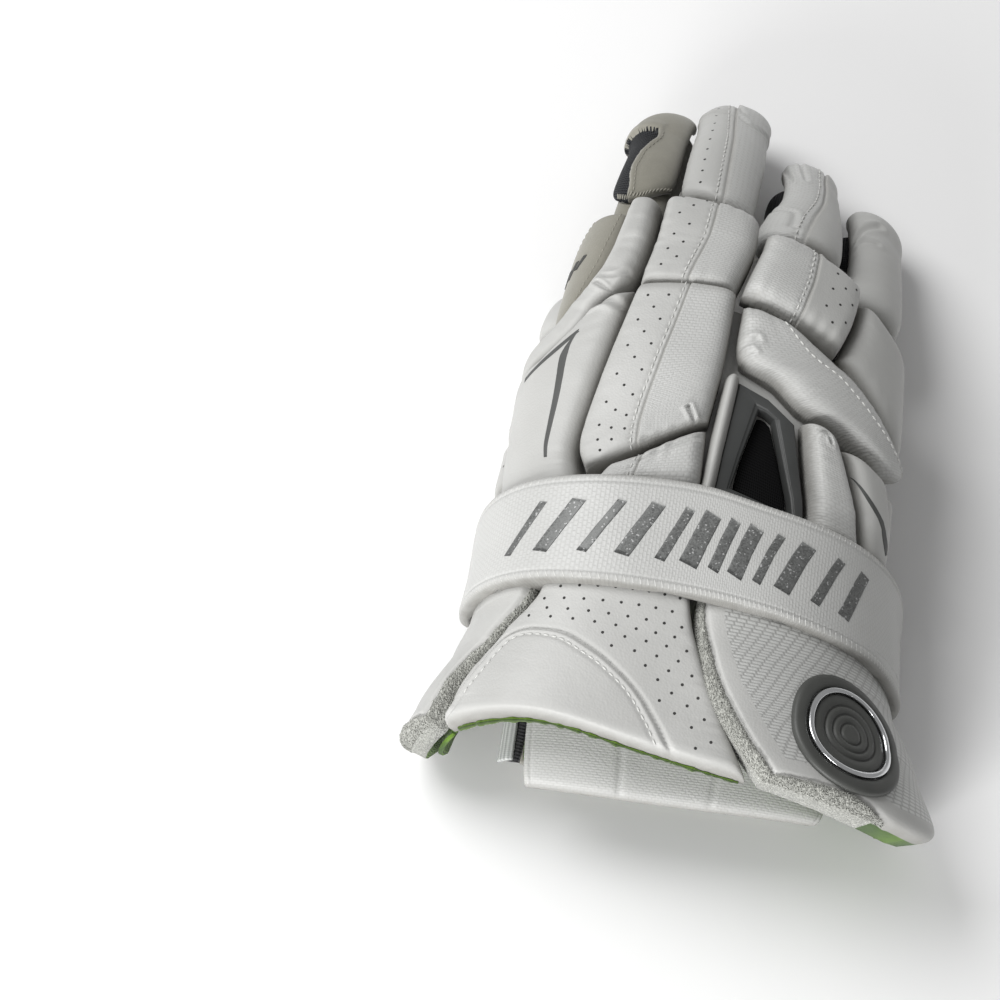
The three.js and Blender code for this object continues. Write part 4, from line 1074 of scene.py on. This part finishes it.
def curledEdge(pad, u, v, place):
    f, g = pad.shares(u, v)
    away = cutAway(g, f) + 0.35 * valueNoise(place, 2.5, 5)
    return np.where(away > 0, -1.7, 0.0) + 0.8 * hump(away + 1.2, 1.3)


cap = pads["index_tip_cap"] = Pad(fingers["index"], capRows, depth=4, base=1.0, lift=tipLift, round=6,
                                  roundEnds=7,
                                  size=(110, 110), grow=0.4, extra=curledEdge, gathers={"start": 0.8},
                                  seed=51)


def capKind(u, v, pad):
    f, g = pad.shares(u, v)
    return cutAway(g, f) > 0


ready(cap.build("index_tip_cap_cover", [greySuede, darkNet], capKind), "index_tip_cap", "suede_grey", 0.4)
seams = np.linspace(-0.1, 0.93, 20)
edgeWhips = cap.at(seams, -1 + 3.2 / cap.length + 0 * seams, 0.25), (
    cap.at(seams + 1.6 / cap.width, -1 + 5.0 / cap.length + 0 * seams,
           0.1) - cap.at(seams, -1 + 0 * seams, 0.1))
lipF = np.linspace(0.02, 0.64, 60)
lipG = np.interp(lipF, [0, 0.065, 0.26, 0.42, 0.584, 0.667], [0.60, 0.59, 0.53, 0.54, 0.645, 0.635]) + 0.055
greyThreads.append(cap.at(*cap.uvOf(np.stack([lipG * cap.width, lipF * cap.length], -1)), 0.1))


def ringedTube(name, pointAt, rings, sides, materials, kindOf, tip):
    # an open tube with a wall: outer skin, inner skin and the turned edge between them
    ringValues = np.asarray(rings, float)
    turn = np.linspace(0, 2, sides, endpoint=False)
    T, A = np.meshgrid(turn, ringValues)
    outer, inner = pointAt(T, A, 0.0), pointAt(T, A, float(sizes["wall"]))
    outer[..., 2] = np.maximum(outer[..., 2], 0.15)
    inner[..., 2] = np.maximum(inner[..., 2], 2.0)
    count = len(ringValues)
    points = np.concatenate([outer.reshape(-1, 3), inner.reshape(-1, 3)])
    faces, slots = [], []
    for i in range(count - 1):
        for k in range(sides):
            n = (k + 1) % sides
            a, b, c, d = i * sides + k, i * sides + n, (i + 1) * sides + n, (i + 1) * sides + k
            kind = int(kindOf(turn[k], ringValues[i]))
            faces += [(a, b, c, d), tuple(count * sides + q for q in (a, d, c, b))]
            slots += [kind, kind]
    for k in range(sides):
        n = (k + 1) % sides
        faces.append((k, count * sides + k, count * sides + n, n))
        slots.append(0)
        last = (count - 1) * sides
        if not tip:
            faces.append((last + k, last + n, count * sides + last + n, count * sides + last + k))
            slots.append(0)
    if tip:
        last = (count - 1) * sides
        faces += [tuple(last + k for k in range(sides)),
                  tuple(count * sides + last + k for k in range(sides))[::-1]]
        slots += [0, 0]
    girth = np.linalg.norm(outer - np.roll(outer, 1, axis=1), axis=-1).mean() * sides
    reach = np.linalg.norm(np.diff(outer, axis=0), axis=-1).sum(0).mean()
    uv = np.stack([T / 2 * girth, A * reach], -1).reshape(-1, 2)
    return makeObject(name, points, faces, materials, slots, np.concatenate([uv, uv]),
                      {"edge": np.zeros(len(points))})


for name, surface in fingers.items():
    def lined(turn, along, inset, surface=surface):
        points = surface(turn, along, inset)
        grain = (0.25 * valueNoise(points, 6, 9))[..., None]
        return points + normalsOf(surface, turn, along) * grain * (inset == 0)
    suedeSide = name in ("index", "thumb")
    tube = ringedTube(name + "_stall_skin", lined, np.linspace(0, 0.995, 56), 48,
                      [palmSuede, darkNet, greySuede],
                      lambda t, a, s=suedeSide: 2 if s and not 0.55 < t < 1.45 else (0 if 0.62 < t < 1.38 else 1),
                      True)
    ready(tube, name + "_stall", "suede_grey" if suedeSide else "mesh_dark")
print("fingers made")


# hand liner, side panel and vent
def knuckleLine(share):
    return backStart + 0.63 * sizes["back"] - sizes["skew"] * np.maximum(share, 0) ** 1.3


def linerAt(turn, f, inset):
    around = 2 * np.where(turn > 1, turn - 2, turn)
    share = np.sin(around * math.pi / 2)
    front = (knuckleLine(share) - backStart) / sizes["back"]
    place = -0.34 + (front + 0.34) * f
    points = handPoint(around, place, inset)
    return points - (0.25 * valueNoise(points, 9, 12) * (inset == 0))[..., None] * np.array([0, 0, 1.0])


liner = ringedTube("hand_liner_skin", linerAt, easedSamples(70, 0.3), 110, [palmSuede, smoothLeather],
                   lambda t, f: 1 if (t < 0.58 or t > 1.42) else 0, False)
ready(liner, "hand_liner", "suede_grey")

panelRows = [[[-1.12, 0.49], [-0.88, 0.535], [-0.67, 0.61]], [[-1.05, 0.74], [-0.565, 0.75]],
             [[-0.90, 0.86], [-0.515, 0.87]], [[-0.70, 0.985], [-0.48, 0.975]]]
panel = Pad(handPoint, panelRows, depth=5.5, base=0.8, round=3, rim=0.3, grow=1.4, size=(60, 70), seed=61,
            crown=1.2)
ready(panel.build("index_side_panel_cover", [greySuede]), "index_side_panel", "suede_grey", 0.3)
loop = np.linspace(0, 1, 60)
for side in (-1, 1):
    across = side * (1 - 2 * 2.2 / panel.width)
    greyThreads.append(panel.at(across + 0 * loop, 1.84 * loop - 0.92, 0.08))


def ribbonOn(name, pad, line, widths, material, rise=0.12):
    # a thin film along a line on a pad: the line and the widths in millimetres
    line = np.asarray(line, float)
    wide = np.interp(np.linspace(0, 1, len(line)), np.linspace(0, 1, len(widths)), widths)[:, None]
    ahead = np.gradient(line, axis=0)
    ahead /= np.linalg.norm(ahead, axis=1, keepdims=True)
    left = np.stack([-ahead[:, 1], ahead[:, 0]], -1)
    real = pad.at(*pad.uvOf(line + left * 0.5)) - pad.at(*pad.uvOf(line - left * 0.5))
    wide = wide / np.linalg.norm(real, axis=1, keepdims=True)
    shares = np.array([-0.5, -0.5, -0.44, -0.25, 0, 0.25, 0.44, 0.5, 0.5])
    rises = np.array([-0.35, rise * 0.6, rise, rise, rise, rise, rise, rise * 0.6, -0.35])
    flat = line[:, None] + left[:, None] * (wide * shares)[..., None]
    u, v = pad.uvOf(flat)
    points = pad.at(u, v, rises[None, :])
    rows, columns = u.shape
    faces = [tuple(q) for q in gridFaces(rows, columns)]
    base = rows * columns
    faces += [tuple(range(columns)), tuple(base - columns + k for k in range(columns))[::-1]]
    piece = makeObject(name, points.reshape(-1, 3), faces, [material], None, flat.reshape(-1, 2),
                       {"edge": np.zeros(base)})
    middle = piece.data.polygons[(rows // 2) * (columns - 1) + columns // 2]
    if middle.normal.z < 0:
        piece.data.flip_normals()
    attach(piece, "root")
    return piece


ventLook = {"outer": [[0.04, 0.02], [0.075, 0.37], [0.19, 0.335], [0.295, 0.275], [0.38, -0.02]],
            "inner": [[0.10, 0.05], [0.165, 0.30], [0.19, 0.295], [0.22, 0.28], [0.33, 0.01]],
            "profile": [(0, 0.4), (0, 4.8), (0.06, 6.6), (0.14, 7.2), (0.78, 6.9), (0.84, 6.3), (0.94, 6.1),
                        (1, 5.2), (1, 0.5)]}


def ventFrame(look):
    def loopOf(corners, count):
        spans = len(corners)
        return np.array([np.array(corners[k]) + (np.array(corners[(k + 1) % spans]) - np.array(corners[k])) * t
                         for k in range(spans) for t in np.linspace(0, 1, count, endpoint=False)])
    outer, inner = loopOf(look["outer"], 16), loopOf(look["inner"], 16)
    around = len(outer)
    points, uv = [], []
    for share, height in look["profile"]:
        where = outer + (inner - outer) * share
        place = handPoint(where[:, 0], where[:, 1])
        points.append(place + normalsOf(handPoint, where[:, 0], where[:, 1]) * height)
        uv.append(where * 100)
    points = np.concatenate(points)
    count = len(look["profile"])
    faces = [(i * around + k, i * around + (k + 1) % around, (i + 1) % count * around + (k + 1) % around,
              (i + 1) % count * around + k) for i in range(count) for k in range(around)]
    piece = makeObject("vent_frame_moulding", points, faces, [ventPlastic], None, np.concatenate(uv),
                       {"edge": np.zeros(len(points))})
    topFace = max(piece.data.polygons, key=lambda p: p.center.z)
    if topFace.normal.z < 0:
        piece.data.flip_normals()
    bevel = piece.modifiers.new("Rounding", "BEVEL")
    bevel.width, bevel.segments, bevel.limit_method, bevel.angle_limit = 0.0005, 2, "ANGLE", 0.5
    return piece


def applied(piece):
    graph = bpy.context.evaluated_depsgraph_get()
    graph.update()
    mesh = bpy.data.meshes.new_from_object(piece.evaluated_get(graph))
    piece.modifiers.clear()
    old = piece.data
    piece.data = mesh
    bpy.data.meshes.remove(old)
    return piece


ready(applied(ventFrame(ventLook)), "vent_frame", "plastic_grey")
netRows = [[[0.104, 0.054], [0.325, 0.016]], [[0.166, 0.292], [0.216, 0.275]]]
net = Pad(handPoint, netRows, depth=1.6, base=0.4, round=1, grow=0.0, rim=0.8, size=(24, 32), seed=62,
          swell=0.1)
ready(net.build("vent_mesh_net", [ventNet]), "vent_mesh", "mesh_dark")

# the raised edge of white leather between the middle pads and the vent
edgeRows = [[[-0.014, -0.01], [0.044, -0.01]], [[0.000, 0.12], [0.058, 0.12]], [[0.012, 0.25], [0.072, 0.25]],
            [[0.026, 0.385], [0.086, 0.395]]]
ventSide = Pad(handPoint, edgeRows, depth=10.2, base=0.8, round=3.5, rim=0.2, grow=0.0, size=(16, 60),
               seed=63, swell=0.4)
ventEdge = ventSide.build("vent_edge_leather", [smoothLeather])
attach(ventEdge, "root")

# grey chevrons let into the smooth pads, and plain bars on the side panel
back, little = pads["index_back_pad"], pads["pinky_back_pad"]
for k, (pad, line, widths) in enumerate([
        (back, [(-0.504, 0.488), (-0.56, 0.453), (-0.638, 0.415), (-0.769, 0.372)], [1.4, 2.4, 2.4, 2.2]),
        (back, [(-0.504, 0.492), (-0.541, 0.43), (-0.544, 0.336), (-0.547, 0.225), (-0.549, 0.089)],
         [0.4, 3.9, 3.2, 2.6, 2.0, 1.4]),
        (little, [(0.515, 0.165), (0.60, 0.09), (0.74, 0.015)], [0.6, 2.4, 3.2])]):
    ribbonOn(f"chevron_{k + 1}", pad, eased(pad.sharesAt(line)), widths, greyFilm)
for k, (x, y, tall) in enumerate([(0.36, 0.40, 7.5), (0.50, 0.44, 9.5), (0.64, 0.48, 7.5)]):
    centre = np.array([x * panel.width, y * panel.length])
    line = centre + np.linspace(-0.5, 0.5, 9)[:, None] * np.array([1.6, tall])
    ribbonOn(f"panel_bar_{k + 1}", panel, line, [2.2, 2.2], darkFilm, 0.3)
print("liner, panel and vent made")


# cuff
cuffSeamLine = [(-0.565, 0.82), (-0.543, 0.749), (-0.518, 0.693), (-0.495, 0.626), (-0.468, 0.568),
                (-0.408, 0.534),
                (-0.32, 0.544), (-0.25, 0.578), (-0.172, 0.631), (-0.091, 0.711), (-0.024, 0.812),
                (0.019, 0.888),
                (0.06, 0.97)]
cuffMiddleRows = [[[-0.40, 0.02], [0.03, 0.02]], [[-0.42, 0.38], [0.03, 0.38]], [[-0.49, 0.54], [0.09, 0.60]],
                  [[-0.56, 0.71], [0.16, 0.78]], [[-0.61, 0.87], [-0.34, 0.83], [-0.07, 0.89], [0.25, 0.975]]]
cuffThumbRows = [[[-0.955, 0.02], [-0.43, 0.02]], [[-0.96, 0.38], [-0.44, 0.38]],
                 [[-0.965, 0.60], [-0.505, 0.54]],
                 [[-0.965, 0.73], [-0.57, 0.70]], [[-0.955, 0.80], [-0.80, 0.88], [-0.605, 0.87]]]
cuffLittleRows = [[[0.05, 0.02], [0.50, 0.075], [0.955, 0.10]], [[0.045, 0.38], [0.50, 0.40], [0.96, 0.42]],
                  [[0.085, 0.60], [0.53, 0.60], [0.965, 0.60]], [[0.14, 0.78], [0.57, 0.78], [0.965, 0.78]],
                  [[0.235, 0.985], [0.60, 1.00], [0.955, 0.87]]]


def sewnLine(pad, line, u, v, side=1):
    # the groove of a seam, the welt beside it and its row of stitches
    d = awayFrom(line, pad.flatOf(u, v))
    return -1.0 * hump(d, 0.7) - 0.5 * (d * side > 0) * np.exp(-np.abs(d) / 6) + 0.5 * hump(d - side * 1.6, 1.0) \
        - 0.4 * hump(d - side * 3.4, 0.7)


middle = Pad(cuffPoint, cuffMiddleRows, depth=sizes["cuffFoam"], base=0.4, round=(5, 3.5), roundEnds=5,
             grow=0.5,
             size=(150, 170), seed=71, swell=0.3, gathers={"left": 0.5, "right": 0.5},
             extra=lambda pad, u, v, place: sewnLine(pad, cuffSeam, u, v))
cuffSeam = eased(middle.sharesAt(cuffSeamLine), 2.0)


def aboveSeam(pad, u, v):
    return awayFrom(cuffSeam, pad.flatOf(u, v))


ready(middle.build("cuff_middle_cover", [smoothLeather]), "cuff_middle", "leather_white", 0.7)
run = beside(eased(middle.sharesAt(cuffSeamLine[1:-1]), 1.0), 3.4)
threads.append(middle.at(*middle.uvOf(run), 0.12))
holeSpots.append(middle.holes((8.8, 5.4), lambda u, v, ds, p: aboveSeam(p, u, v) < -5))


def terryBand(side, near, far, reach):
    def away(pad, u, v):
        x, y = np.moveaxis(pad.flatOf(u, v), -1, 0)
        f = y / pad.length
        inner = x if side < 0 else pad.width - x
        rear = 5.5 * np.clip((reach - inner / pad.width) * 8, -0.25, 1)
        return np.minimum(inner - (near + far * f), pad.length - y - rear)
    return away


def sidePiece(name, rows, side, seed, skin, near, far, reach, inner, raised=1.0):
    away = terryBand(side, near, far, reach)

    def edging(pad, u, v, place):
        d = away(pad, u, v)
        loops = valueNoise(place, 1.6, 3) * 0.35 + valueNoise(place, 4, 5) * 0.35
        return -1.1 * hump(d, 0.9) + np.where(d < 0, 0.5 + loops, 0.0)
    pad = Pad(cuffPoint, rows, depth=sizes["cuffFoam"], base=0.4, round=inner, roundEnds=6, grow=0.5,
              size=(170, 150),
              seed=seed, swell=0.25, lift=lambda a: raised * sideLift(a),
              liftInside=lambda a: 0.4 * raised * sideLift(a), extra=edging)
    piece = pad.build(name + "_cover", [skin, terryCloth, greenRib, smoothLeather],
                      lambda u, v, p: np.where(away(p, u, v) < 0, 1, np.where(away(p, u, v) < 7, 3, 0)), 2,
                      1, 2 if side < 0 else 1)
    ready(piece, name, "leather_woven", 0.7)
    u, v, _ = pad.grid()
    pile = away(pad, (u[:-1, :-1] + u[1:, 1:]) / 2, (v[:-1, :-1] + v[1:, 1:]) / 2) < -0.3
    points = pad.at(u, v, 0.05).reshape(-1, 3)
    quads = gridFaces(*u.shape, turned=True)[pile.ravel()]
    holder = makeObject(name + "_pile", points, quads, [terryCloth])
    tufts = runTree(holder, pilesTree, {"Density": 1.7e6, "Height": 0.0013, "Seed": seed,
                                        "Material": terryCloth},
                    name + "_pile")
    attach(tufts, "root")
    return pad


sidePiece("cuff_thumb_side", cuffThumbRows, 1, 72, smoothLeather, 0.8, 2.4, 0.9, (6, 6), 0.6)
# the little side's darker twill leather is painted shade
sidePiece("cuff_little_side", cuffLittleRows, -1, 73, shadedTwillLeather, 2.2, 5.0, 0.38, (11, 6))


def lining(name, node, rows, base, seed, **more):
    pad = Pad(cuffPoint, rows, depth=1.8, base=base, start=0.46, round=1.5, rim=0.7, grow=-3.5, size=(60, 60),
              seed=seed, swell=0.2, **more)
    piece = ready(pad.build(name, [greenRib]), node, "lining_green")
    return pad


lining("cuff_middle_lining_cloth", "cuff_middle_lining", cuffMiddleRows, -2.2, 74)
lining("cuff_thumb_side_lining_cloth", "cuff_thumb_side_lining", cuffThumbRows, -2.6, 75)
lining("cuff_little_side_lining_cloth", "cuff_little_side_lining", cuffLittleRows, -2.6, 76)


def rimBinding(name, pad, low, high):
    # the ragged turned edge of the lining, below the rim of a piece
    u = np.linspace(low, high, 420)
    top, under = pad.at(u, 1 + 0 * u, 0), pad.inside(u, 1 + 0 * u)
    down = under - top
    down /= np.linalg.norm(down, axis=1, keepdims=True)
    ahead = np.gradient(top, axis=0)
    ahead /= np.linalg.norm(ahead, axis=1, keepdims=True)
    out = np.cross(down, ahead)
    out *= np.where(out[:, 1:2] > 0, -1, 1)
    turn = np.linspace(0, 2 * math.pi, 9, endpoint=False)
    thick = 0.85 + 0.45 * valueNoise(top, 3.1, 7) + 0.25 * valueNoise(top, 1.1, 8)
    middleLine = top * 0.35 + under * 0.65 + out * 0.3
    ring = out[:, None] * np.cos(turn)[:, None] * 0.9 + down[:, None] * np.sin(turn)[:, None] * 1.3
    points = middleLine[:, None] + ring * thick[:, None, None]
    n, m = len(u), len(turn)
    faces = [(i * m + k, i * m + (k + 1) % m, (i + 1) * m + (k + 1) % m, (i + 1) * m + k)
             for i in range(n - 1) for k in range(m)]
    faces += [tuple(range(m))[::-1], tuple((n - 1) * m + k for k in range(m))]
    uv = np.stack(np.broadcast_arrays((np.arange(n) * 0.4)[:, None], turn * 0.6), -1).reshape(-1, 2)
    piece = makeObject(name, points.reshape(-1, 3), faces, [greenEdge], None, uv, {"edge": np.zeros(n * m)})
    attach(piece, "root")


rimBinding("cuff_middle_binding", middle, -0.92, 0.97)
print("cuff made")

# strap
strapRows = [[[-0.94, 0.00], [-0.94, 0.32]], [[-0.72, -0.01], [-0.72, 0.36]],
             [[-0.38, -0.01], [-0.38, 0.365]],
             [[0.00, -0.01], [0.00, 0.375]], [[0.24, 0.03], [0.24, 0.40]], [[0.50, 0.06], [0.50, 0.45]],
             [[0.69, 0.075], [0.69, 0.495]], [[0.94, 0.085], [0.94, 0.46]]]
strap = Pad(cuffPoint, strapRows, depth=sizes["strap"], base=11.6, round=2.2, rim=0.35, corner=0.03, grow=0.3,
            size=(80, 260), seed=81, swell=0.25,
            extra=lambda pad, u, v, place: -0.35 * hump((1 - np.abs(u)) * pad.width / 2 - 3.2, 0.5))
strapPiece = strap.build("wrist_strap_cover", [strapLeather])
ready(strapPiece, "wrist_strap", "leather_woven", 0.8)
whips = []
steps = np.linspace(-0.985, 0.985, int(strap.length / 1.9))
for side in (-1, 1):
    inner = strap.at(side * (1 - 2 * 2.7 / strap.width) + 0 * steps, steps, 0.06)
    outerEdge = strap.at(side * (1 - 2 * 0.5 / strap.width) + 0 * steps, steps + 0.9 / strap.length, 0.0)
    whips.append(((inner + outerEdge) / 2 + [0, 0, 0.12], outerEdge - inner))
barShares = [(0.255, 4.6), (0.29, 8.0), (0.33, 5.0), (0.367, 7.4), (0.407, 5.0), (0.445, 9.0), (0.487, 5.6),
             (0.527, 7.8), (0.567, 4.4), (0.605, 8.4), (0.65, 5.2), (0.69, 7.0)]
for k, (share, wide) in enumerate(barShares):
    lean = np.linspace(-0.5, 0.5, 15)
    x = strap.width * (0.5 + 0.50 * lean)
    y = strap.length * share - lean * 7.0
    ribbonOn(f"strap_bar_{k + 1}", strap, np.stack([x, y], -1), [wide * 0.74, wide * 0.80], silverPrint, 0.16)
print("strap made")

# wrist band
bandTopRows = [[[-0.58, 0.00], [0.72, 0.00]], [[-0.60, 0.93], [0.72, 0.88]]]


def panelLines(pad, u, v, place):
    x, y = np.moveaxis(pad.flatOf(u, v), -1, 0)
    line = 0 * x
    for share, lean in ((0.30, 6.0), (0.62, -5.0)):
        line = line - 0.7 * hump(x - pad.width * share - lean * (y / pad.length - 0.5), 0.8)
    return line - 0.7 * hump(y - pad.length * 0.34, 0.7) - 0.6 * hump((1 - np.abs(u)) * pad.width / 2 - 4.5, 0.6)


flap = Pad(bandPoint, bandTopRows, depth=sizes["bandFoam"], base=0.4, round=5, roundEnds=5, grow=0.3,
           size=(130, 110), seed=82, swell=0.2, extra=panelLines)
ready(flap.build("wrist_band_top_cover", [strapLeather, greenRib], None, 1, 0), "wrist_band_top",
      "leather_woven",
      0.7)
under = Pad(bandPoint, [[[1.30, 0.00], [2.72, 0.00]], [[1.30, 0.64], [2.72, 0.66]]], depth=sizes["bandFoam"],
            base=0.4, round=4, roundEnds=4, grow=0.3, size=(90, 80), seed=83, swell=0.3)
ready(under.build("wrist_band_under_cover", [palmSuede, greenRib], None, 1, 0), "wrist_band_under",
      "suede_grey",
      0.7)
for k, (side, rows) in enumerate([
        ("thumb", [[[2.728, 0.05], [3.412, 0.05]], [[2.728, 0.62], [3.394, 0.80]]]),
        ("little", [[[0.728, 0.05], [1.292, 0.05]], [[0.728, 0.80], [1.292, 0.62]]])]):
    band = Pad(bandPoint, rows, depth=2, base=3, round=1, rim=0.8, grow=0.0, size=(40, 60), seed=84 + k,
               swell=0.3)
    piece = ready(band.build(f"wrist_elastic_{side}_side_web", [blackElastic]), f"wrist_elastic_{side}_side",
                  "elastic_black")
tab = Pad(bandPoint, [[[3.20, 0.52], [3.35, 0.52]], [[3.20, 0.76], [3.35, 0.76]]], depth=1.6, base=5.4,
          round=0.8,
          rim=0.7, corner=0.02, grow=0.0, size=(24, 40), seed=86, swell=0.15)
ready(tab.build("webbing_tab_web", [greyWebbing]), "webbing_tab", "webbing_grey")
print("wrist band made")


# badge
def littleTop(around, along):
    place = cuffPoint(around, along)
    out = normalsOf(cuffPoint, around, along)
    return place + out * (0.4 + sizes["cuffFoam"] + sideLift(along))[..., None]


def turnedOn(name, profile, material, node, slot, sides=96):
    # turned round the badge's centre and laid on the side piece, which isn't flat
    step, (around, along) = 0.01, (0.43, 0.755)
    perAround = np.linalg.norm(littleTop(around + step, along) - littleTop(around - step, along)) / 2 / step
    perAlong = np.linalg.norm(littleTop(around, along + step) - littleTop(around, along - step)) / 2 / step
    angle = np.linspace(0, 2 * math.pi, sides, endpoint=False)
    rings, flat = [], []
    for radius, height in profile:
        a = around + radius * np.cos(angle) / perAround
        b = along + radius * np.sin(angle) / perAlong
        place = littleTop(a, b)
        rings.append(place + normalsOf(cuffPoint, a, b) * height)
        flat.append(np.stack([radius * np.cos(angle), radius * np.sin(angle)], -1))
    count = len(profile)
    closed = profile[0] == profile[-1]
    count -= closed
    points = np.concatenate(rings[:count])
    faces = [(i * sides + k, i * sides + (k + 1) % sides, (i + 1) % count * sides + (k + 1) % sides,
              (i + 1) % count * sides + k) for i in range(count if closed else count - 1) for k in range(sides)]
    if not closed:
        last = (count - 1) * sides
        faces += [tuple(range(sides))[::-1], tuple(last + k for k in range(sides))]
    piece = makeObject(name, points, faces, [material], None, np.concatenate(flat[:count]),
                       {"edge": np.zeros(len(points))})
    outward = max(piece.data.polygons, key=lambda p: p.center.z)
    if outward.normal.z < 0:
        piece.data.flip_normals()
    return ready(piece, node, slot)


innerR = 23.5 * 0.74
turnedOn("badge_rim_turned", [(innerR + 0.4, 0.1), (23.5, 0.1), (23.45, 0.9), (23.1, 1.7), (22.4, 2.3),
                              (21.4, 2.5),
                              (19.6, 2.5), (18.8, 2.35), (18.1, 1.9), (innerR + 0.4, 1.3),
                              (innerR + 0.4, 0.1)],
         darkRubber, "badge_rim", "rubber_dark")
hollow = innerR * 0.88
turnedOn("badge_ring_turned", [(hollow, 0.3), (innerR, 0.3), (innerR, 2.6), (innerR - 0.25, 2.95),
                               (innerR - 0.8, 3.1),
                               (hollow + 0.8, 3.1), (hollow + 0.25, 2.95), (hollow, 2.6), (hollow, 0.3)],
         chromeRing, "badge_ring", "chrome")
grooved = [(0.2, 2.1), (2.6, 2.05)]
for radius in (4.2, 7.4, 10.6):
    grooved += [(radius - 0.55, 2.0), (radius - 0.3, 1.3), (radius + 0.3, 1.3), (radius + 0.55, 1.95)]
turnedOn("badge_disc_turned", ([(hollow - 0.4, 0.3), (hollow - 0.4, 1.4),
                                (hollow - 0.8, 1.75)] + grooved[::-1]),
         darkRubber, "badge_disc", "rubber_dark")

# threads and punched holes
stitched("white_stitches", threads, whiteThread)
stitched("grey_stitches", greyThreads, greyThread, 2.8, 2.1, 0.5)
marked("strap_edge_threads", whipTree, np.concatenate([w[0] for w in whips]),
       np.concatenate([w[1] for w in whips]),
       {"Length": 0.0028, "Thickness": 0.0005, "Material": whiteThread})
marked("cap_edge_threads", whipTree, edgeWhips[0], edgeWhips[1],
       {"Length": 0.0026, "Thickness": 0.0006, "Material": greyThread})
# punched holes: dark discs of painted shade
marked("punched_holes", holesTree, np.concatenate([h[0] for h in holeSpots]),
       np.concatenate([h[1] for h in holeSpots]), {"Radius": 0.0006, "Material": holeShade})
print("threads and holes made")

# floor, light and camera
bpy.ops.mesh.primitive_plane_add(size=8, location=(0, 0, -0.0002))
floor = bpy.context.object
floor.name = "floor"
floor.data.materials.append(groundCloth("floor_pale"))


def areaLight(name, place, target, size, power, tint=(1, 1, 1)):
    data = bpy.data.lights.new(name, "AREA")
    data.shape, data.size, data.energy, data.color = "DISK", size, power, tint
    light = bpy.data.objects.new(name, data)
    light.location = place
    light.rotation_euler = (Vector(target) - Vector(place)).to_track_quat("-Z", "Y").to_euler()
    bpy.context.scene.collection.objects.link(light)


areaLight("key", (-0.9, 0.35, 1.25), (0, 0, 0.04), 1.0, 17)
areaLight("front", (-0.5, -1.3, 0.40), (0, -0.05, 0.03), 0.8, 18)
world = bpy.data.worlds.new("studio")
bpy.context.scene.world = world
world.use_nodes = True
world.node_tree.nodes["Background"].inputs[0].default_value = (1, 1, 1, 1)
world.node_tree.nodes["Background"].inputs[1].default_value = 0.31
bpy.context.scene.view_settings.view_transform = "Standard"

azimuth, elevation, roll = math.radians(12.5), math.radians(63.0), math.radians(-3.0)
distance, focal, target, pixel = 868.5, 2194.0, np.array([0.0, 150.0, 60.0]), (710.7, 411.0)
backward = np.array([math.sin(azimuth) * math.cos(elevation), -math.cos(azimuth) * math.cos(elevation),
                     math.sin(elevation)])
forward = -backward
rightward = np.cross(forward, [0, 0, 1])
rightward /= np.linalg.norm(rightward)
upward = np.cross(rightward, forward)
across = rightward * math.cos(roll) + upward * math.sin(roll)
above = -rightward * math.sin(roll) + upward * math.cos(roll)
ray = forward + across * (pixel[0] - 500) / focal - above * (pixel[1] - 500) / focal
eye = intoFrame(target - ray * distance)
camera = bpy.data.objects.new("camera", bpy.data.cameras.new("camera"))
camera.data.sensor_width, camera.data.lens = 36.0, 36.0 * focal / 1000
turn = Matrix([[across[k], above[k], backward[k]] for k in range(3)]).to_4x4()
camera.matrix_world = Matrix.Translation(Vector(eye)) @ turn
bpy.context.scene.collection.objects.link(camera)
bpy.context.scene.camera = camera
